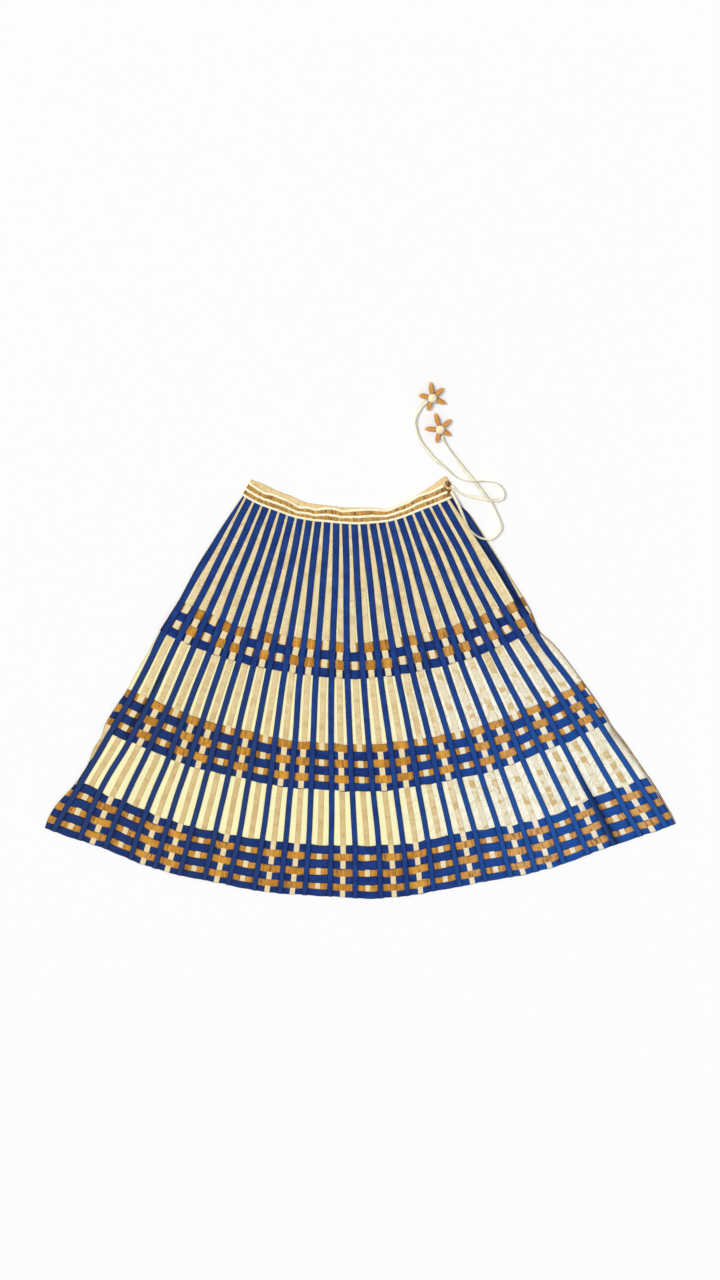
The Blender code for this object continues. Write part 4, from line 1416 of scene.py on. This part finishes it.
UPPER_CORD_ROUTE = (
    (202.2, -300.3, 2.7, 20),
    (206, -301.4, 2.7, 30),
    (210, -305.4, 2.6, 40),
    (215.6, -310.6, 2.5, 65),
    (223.6, -316.4, 2.4, 72),
    (237.6, -322, 2.4, 60),
    (253, -325, 3.2, 35),
    (264.5, -326.8, 6.2, 10),
    (274, -328.6, 7.5, 0),
    (283.5, -330.4, 5.8, 5),
    (294.5, -331, 2.8, 25),
    (302, -327, 2.4, 62),
    (304, -317.8, 2.4, 72),
    (300.3, -308.5, 2.4, 66),
    (293.3, -300.3, 2.4, 62),
    (284.4, -295.5, 2.4, 66),
    (273.5, -293.4, 2.5, 72),
    (258.3, -291.2, 4.6, 74),
    (246.5, -290.8, 7.5, 70),
    (234.5, -290.6, 5.4, 72),
    (225.7, -289.4, 2.8, 74),
    (214.7, -284.5, 2.4, 74),
    (203.7, -276.4, 2.4, 70),
    (192.7, -266, 2.4, 45),
    (170.9, -246.3, 2.4, 10),
    (149.3, -219.3, 2.4, 35),
    (140.7, -203.8, 2.4, 55),
    (135.3, -186.4, 2.4, 62),
    (134.2, -171.4, 2.4, 72),
    (138.4, -158.8, 2.4, 45),
    (146.6, -146.4, 2.8, 5),
    (156.2, -138.4, 3.6, 0),
)


def route_points(rows, spacing):
    """Points about `spacing` apart on a smooth curve through a route, with the tape's turn."""
    route = [np.array(row) for row in rows]
    route = [2 * route[0] - route[1], *route, 2 * route[-1] - route[-2]]
    made = [route[1]]
    for a, b, c, d in zip(route, route[1:], route[2:], route[3:]):
        steps = max(1, round(float(np.linalg.norm((c - b)[:3])) / spacing))
        for step in range(1, steps + 1):
            t = step / steps
            point = b * 2 + (c - a) * t + (a * 2 - b * 5 + c * 4 - d) * t**2
            point = point + (b * 3 - a - c * 3 + d) * t**3
            made.append(point / 2)
    return np.array(made)


def drawstring(name, node_name, rows):
    """A flat satin tape, sewn as a tube, which turns on edge here and there."""
    points = route_points(rows, CORD_SPACING)
    turn = np.radians(points[:, CORD_COLUMNS.index("turn")])
    wide, thick = TAPE_WIDTH / 2, TAPE_THICK / 2
    reach = np.sqrt((wide * np.sin(turn)) ** 2 + (thick * np.cos(turn)) ** 2)
    centre = points[:, :3].copy()
    centre[:, 2] = np.maximum(centre[:, 2], reach + CORD_FLOOR)
    count = len(centre)
    heading = np.gradient(centre, axis=0)
    heading = heading / np.linalg.norm(heading, axis=1)[:, None]
    level = np.cross(heading, np.array((0.0, 0.0, 1.0)))
    level = level / np.linalg.norm(level, axis=1)[:, None]
    above = np.cross(level, heading)
    aside = level * np.cos(turn)[:, None] + above * np.sin(turn)[:, None]
    up = above * np.cos(turn)[:, None] - level * np.sin(turn)[:, None]
    world = APEX + centre * MM

    def ring(t):
        at = t * (count - 1)

        def between(rows):
            return np.column_stack([np.interp(at, np.arange(count), axis) for axis in rows.T])

        return between(world), between(aside) * wide * MM, between(up) * thick * MM

    def painted_shade_and_marks_at(s, t):
        """Painted shade along the tape's two edges, which face up where it stands on edge."""
        return 0.95 * np.abs(np.cos(s * math.tau)) ** 3

    cord = tube(
        name, count - 1, ring, "satin", (node_name,), around=16, painted_shade_and_marks_at=painted_shade_and_marks_at
    )
    return cord, world


# The flowers

FLOWERS = {
    "upper": {
        "centre": (165.4, -131.8),
        "petals": ((41.1, 26.1), (97.4, 28.7), (167.9, 25.7), (250.3, 24.6), (335.5, 26.8)),
    },
    "lower": {
        "centre": (180.2, -190.1),
        "petals": ((42.0, 26.9), (108.0, 32.1), (176.8, 28.4), (256.5, 26.2), (329.2, 23.4)),
    },
}
PETAL_WIDTH = 8.8
PETAL_HEIGHT = 7.0
PETAL_START = 3.0
BUTTON_RADIUS = 7.8
BUTTON_BASE = 6.6
BUTTON_HEIGHT = 5.2
BUTTON_DEPTH = 1.6
BUTTON_GATHERS = 16


def flower_petals(name, node_name, flower):
    """Five stuffed petals, each a spindle with a crease down its middle."""
    whole = bmesh.new()
    uv = whole.loops.layers.uv.new("cloth")
    deep = whole.verts.layers.float.new("deep")
    for direction, length in flower["petals"]:
        petal = bmesh.ops.create_uvsphere(whole, u_segments=28, v_segments=22, radius=1.0)
        turn = math.radians(direction)
        along = Vector((math.cos(turn), math.sin(turn), 0.0))
        across = Vector((-along.y, along.x, 0.0))
        local = {}
        for vert in petal["verts"]:
            t = (vert.co.z + 1.0) / 2.0
            ring = math.sqrt(max(0.0, 1.0 - vert.co.z**2))
            swell = math.sqrt(max(0.0, 1.0 - (2.0 * t**1.06 - 1.0) ** 2)) ** 1.15
            share = swell / ring if ring > 1e-6 else 0.0
            aside = vert.co.x * share
            up = vert.co.y * share
            crease = math.exp(-((aside / 0.2) ** 2)) * math.sin(math.pi * t)
            pinch = 0.30 * crease * (1.0 if up > 0 else 0.4)
            tall = up * (1.0 - pinch)
            reach = PETAL_START + t * (length - PETAL_START)
            local[vert] = (aside, t)
            # Painted shade at the petal's edges, along its crease on top, and towards its base by
            # the button.
            shade = 0.85 * abs(aside) ** 1.4 + 0.25 * crease * (up > 0)
            vert[deep] = min(0.85, shade + 0.6 * max(0.0, 0.35 - t) / 0.35)
            flat_at = along * reach + across * (aside * PETAL_WIDTH / 2)
            height = 0.1 + PETAL_HEIGHT / 2 * (1.0 + tall)
            centre = Vector((*flower["centre"], 0.0))
            spot = centre + flat_at + Vector((0.0, 0.0, height))
            vert.co = Vector(APEX) + spot * MM
        for face in {f for v in petal["verts"] for f in v.link_faces}:
            for loop in face.loops:
                aside, t = local[loop.vert]
                loop[uv].uv = (aside * PETAL_WIDTH * MM, t * length * MM)
    bmesh.ops.recalc_face_normals(whole, faces=whole.faces)
    made = finish_piece(name, whole, "petal", (node_name,))
    return made


def flower_button(name, node_name, flower):
    """A button covered in cloth, with small gathers round its rim."""
    dome = bmesh.new()
    uv = dome.loops.layers.uv.new("cloth")
    deep = dome.verts.layers.float.new("deep")
    bmesh.ops.create_uvsphere(dome, u_segments=64, v_segments=28, radius=1.0)
    for vert in dome.verts:
        around = math.atan2(vert.co.y, vert.co.x)
        out = math.hypot(vert.co.x, vert.co.y)
        wave = math.sin(BUTTON_GATHERS * around)
        gather = 0.02 * wave * max(0.0, out - 0.7) / 0.3
        share = BUTTON_RADIUS * (1.0 + gather)
        tall = BUTTON_HEIGHT if vert.co.z > 0 else BUTTON_DEPTH
        x = flower["centre"][0] + vert.co.x * share
        y = flower["centre"][1] + vert.co.y * share
        z = BUTTON_BASE + vert.co.z * tall
        # Painted shade on one side of each gather near the rim.
        vert[deep] = 0.35 * max(0.0, wave) * max(0.0, out - 0.8) / 0.2
        vert.co = Vector(APEX) + Vector((x, y, z)) * MM
    for face in dome.faces:
        for loop in face.loops:
            spot = loop.vert.co
            loop[uv].uv = (spot.x, spot.y)
    bmesh.ops.recalc_face_normals(dome, faces=dome.faces)
    return finish_piece(name, dome, "button", (node_name,))


# The room

FLOOR_COLOUR = linear(250, 250, 250)
SKY_STRENGTH = 0.63
KEY_STRENGTH = 1.9
KEY_SOFTNESS = 18.0
KEY_FROM = (-1.4, 1.0, 1.5)


def make_floor():
    floor = bmesh.new()
    bmesh.ops.create_grid(floor, x_segments=2, y_segments=2, size=8.0)
    data = bpy.data.meshes.new("floor")
    floor.to_mesh(data)
    floor.free()
    paper = bpy.data.materials.new("floor")
    paper.use_nodes = True
    shader = paper.node_tree.nodes["Principled BSDF"]
    shader.inputs["Base Color"].default_value = FLOOR_COLOUR
    shader.inputs["Roughness"].default_value = 0.9
    shader.inputs["Specular IOR Level"].default_value = 0.1
    data.materials.append(paper)
    made = bpy.data.objects.new("floor", data)
    bpy.context.scene.collection.objects.link(made)


def make_light():
    world = bpy.data.worlds.new("studio")
    world.use_nodes = True
    sky = world.node_tree.nodes["Background"]
    sky.inputs["Color"].default_value = (1.0, 1.0, 1.0, 1.0)
    sky.inputs["Strength"].default_value = SKY_STRENGTH
    bpy.context.scene.world = world
    data = bpy.data.lights.new("key", "SUN")
    data.energy = KEY_STRENGTH
    data.angle = math.radians(KEY_SOFTNESS)
    made = bpy.data.objects.new("key", data)
    bpy.context.scene.collection.objects.link(made)
    made.matrix_world = Vector(KEY_FROM).to_track_quat("Z", "Y").to_matrix().to_4x4()
    bpy.context.scene.view_settings.view_transform = "Standard"
    bpy.context.scene.view_settings.look = "None"


make_floor()
make_light()

# The cords and their flowers

lower_cord, lower_path = drawstring("satin_cord_lower", "drawstring_lower", LOWER_CORD_ROUTE)
upper_cord, upper_path = drawstring("satin_cord_upper", "drawstring_upper", UPPER_CORD_ROUTE)
for flower_name, flower in FLOWERS.items():
    flower_petals(f"stuffed_petals_{flower_name}", f"flower_petals_{flower_name}", flower)
    flower_button(f"covered_button_{flower_name}", f"flower_button_{flower_name}", flower)


def path_length(path):
    return float(np.linalg.norm(np.diff(path, axis=0), axis=1).sum())


for cord, path, flower_name in (
    (lower_cord, lower_path, "lower"),
    (upper_cord, upper_path, "upper"),
):
    tuple(path[0])
    round(path_length(path), 3)
    [tuple(p) for p in path]

# The cloth

front = front_cloth()
back = back_cloth()
sewn_on = [blue_ribbon(k) for k in range(-RIBBONS_EACH_SIDE, RIBBONS_EACH_SIDE + 1)]
sewn_on.append(tan_ribbon(1, *TURNED_TAN_REACH))
sewn_on += [tan_ribbon(gap, SEAM + TAN_START, HEM) for gap in range(2, GAPS)]
sewn_on.append(tan_ribbon(GAPS, LAST_TAN_START, HEM))
for band_name, band in BANDS.items():
    sewn_on += [woven_row(band_name, row) for row in range(len(band["rows"]))]
core = waistband_core()
trims = [bronze_stripe(number) for number in BRONZE_STRIPES]
trims += [piping(number) for number in PIPINGS]
trims += waistband_ends()
facing = waistband_facing()
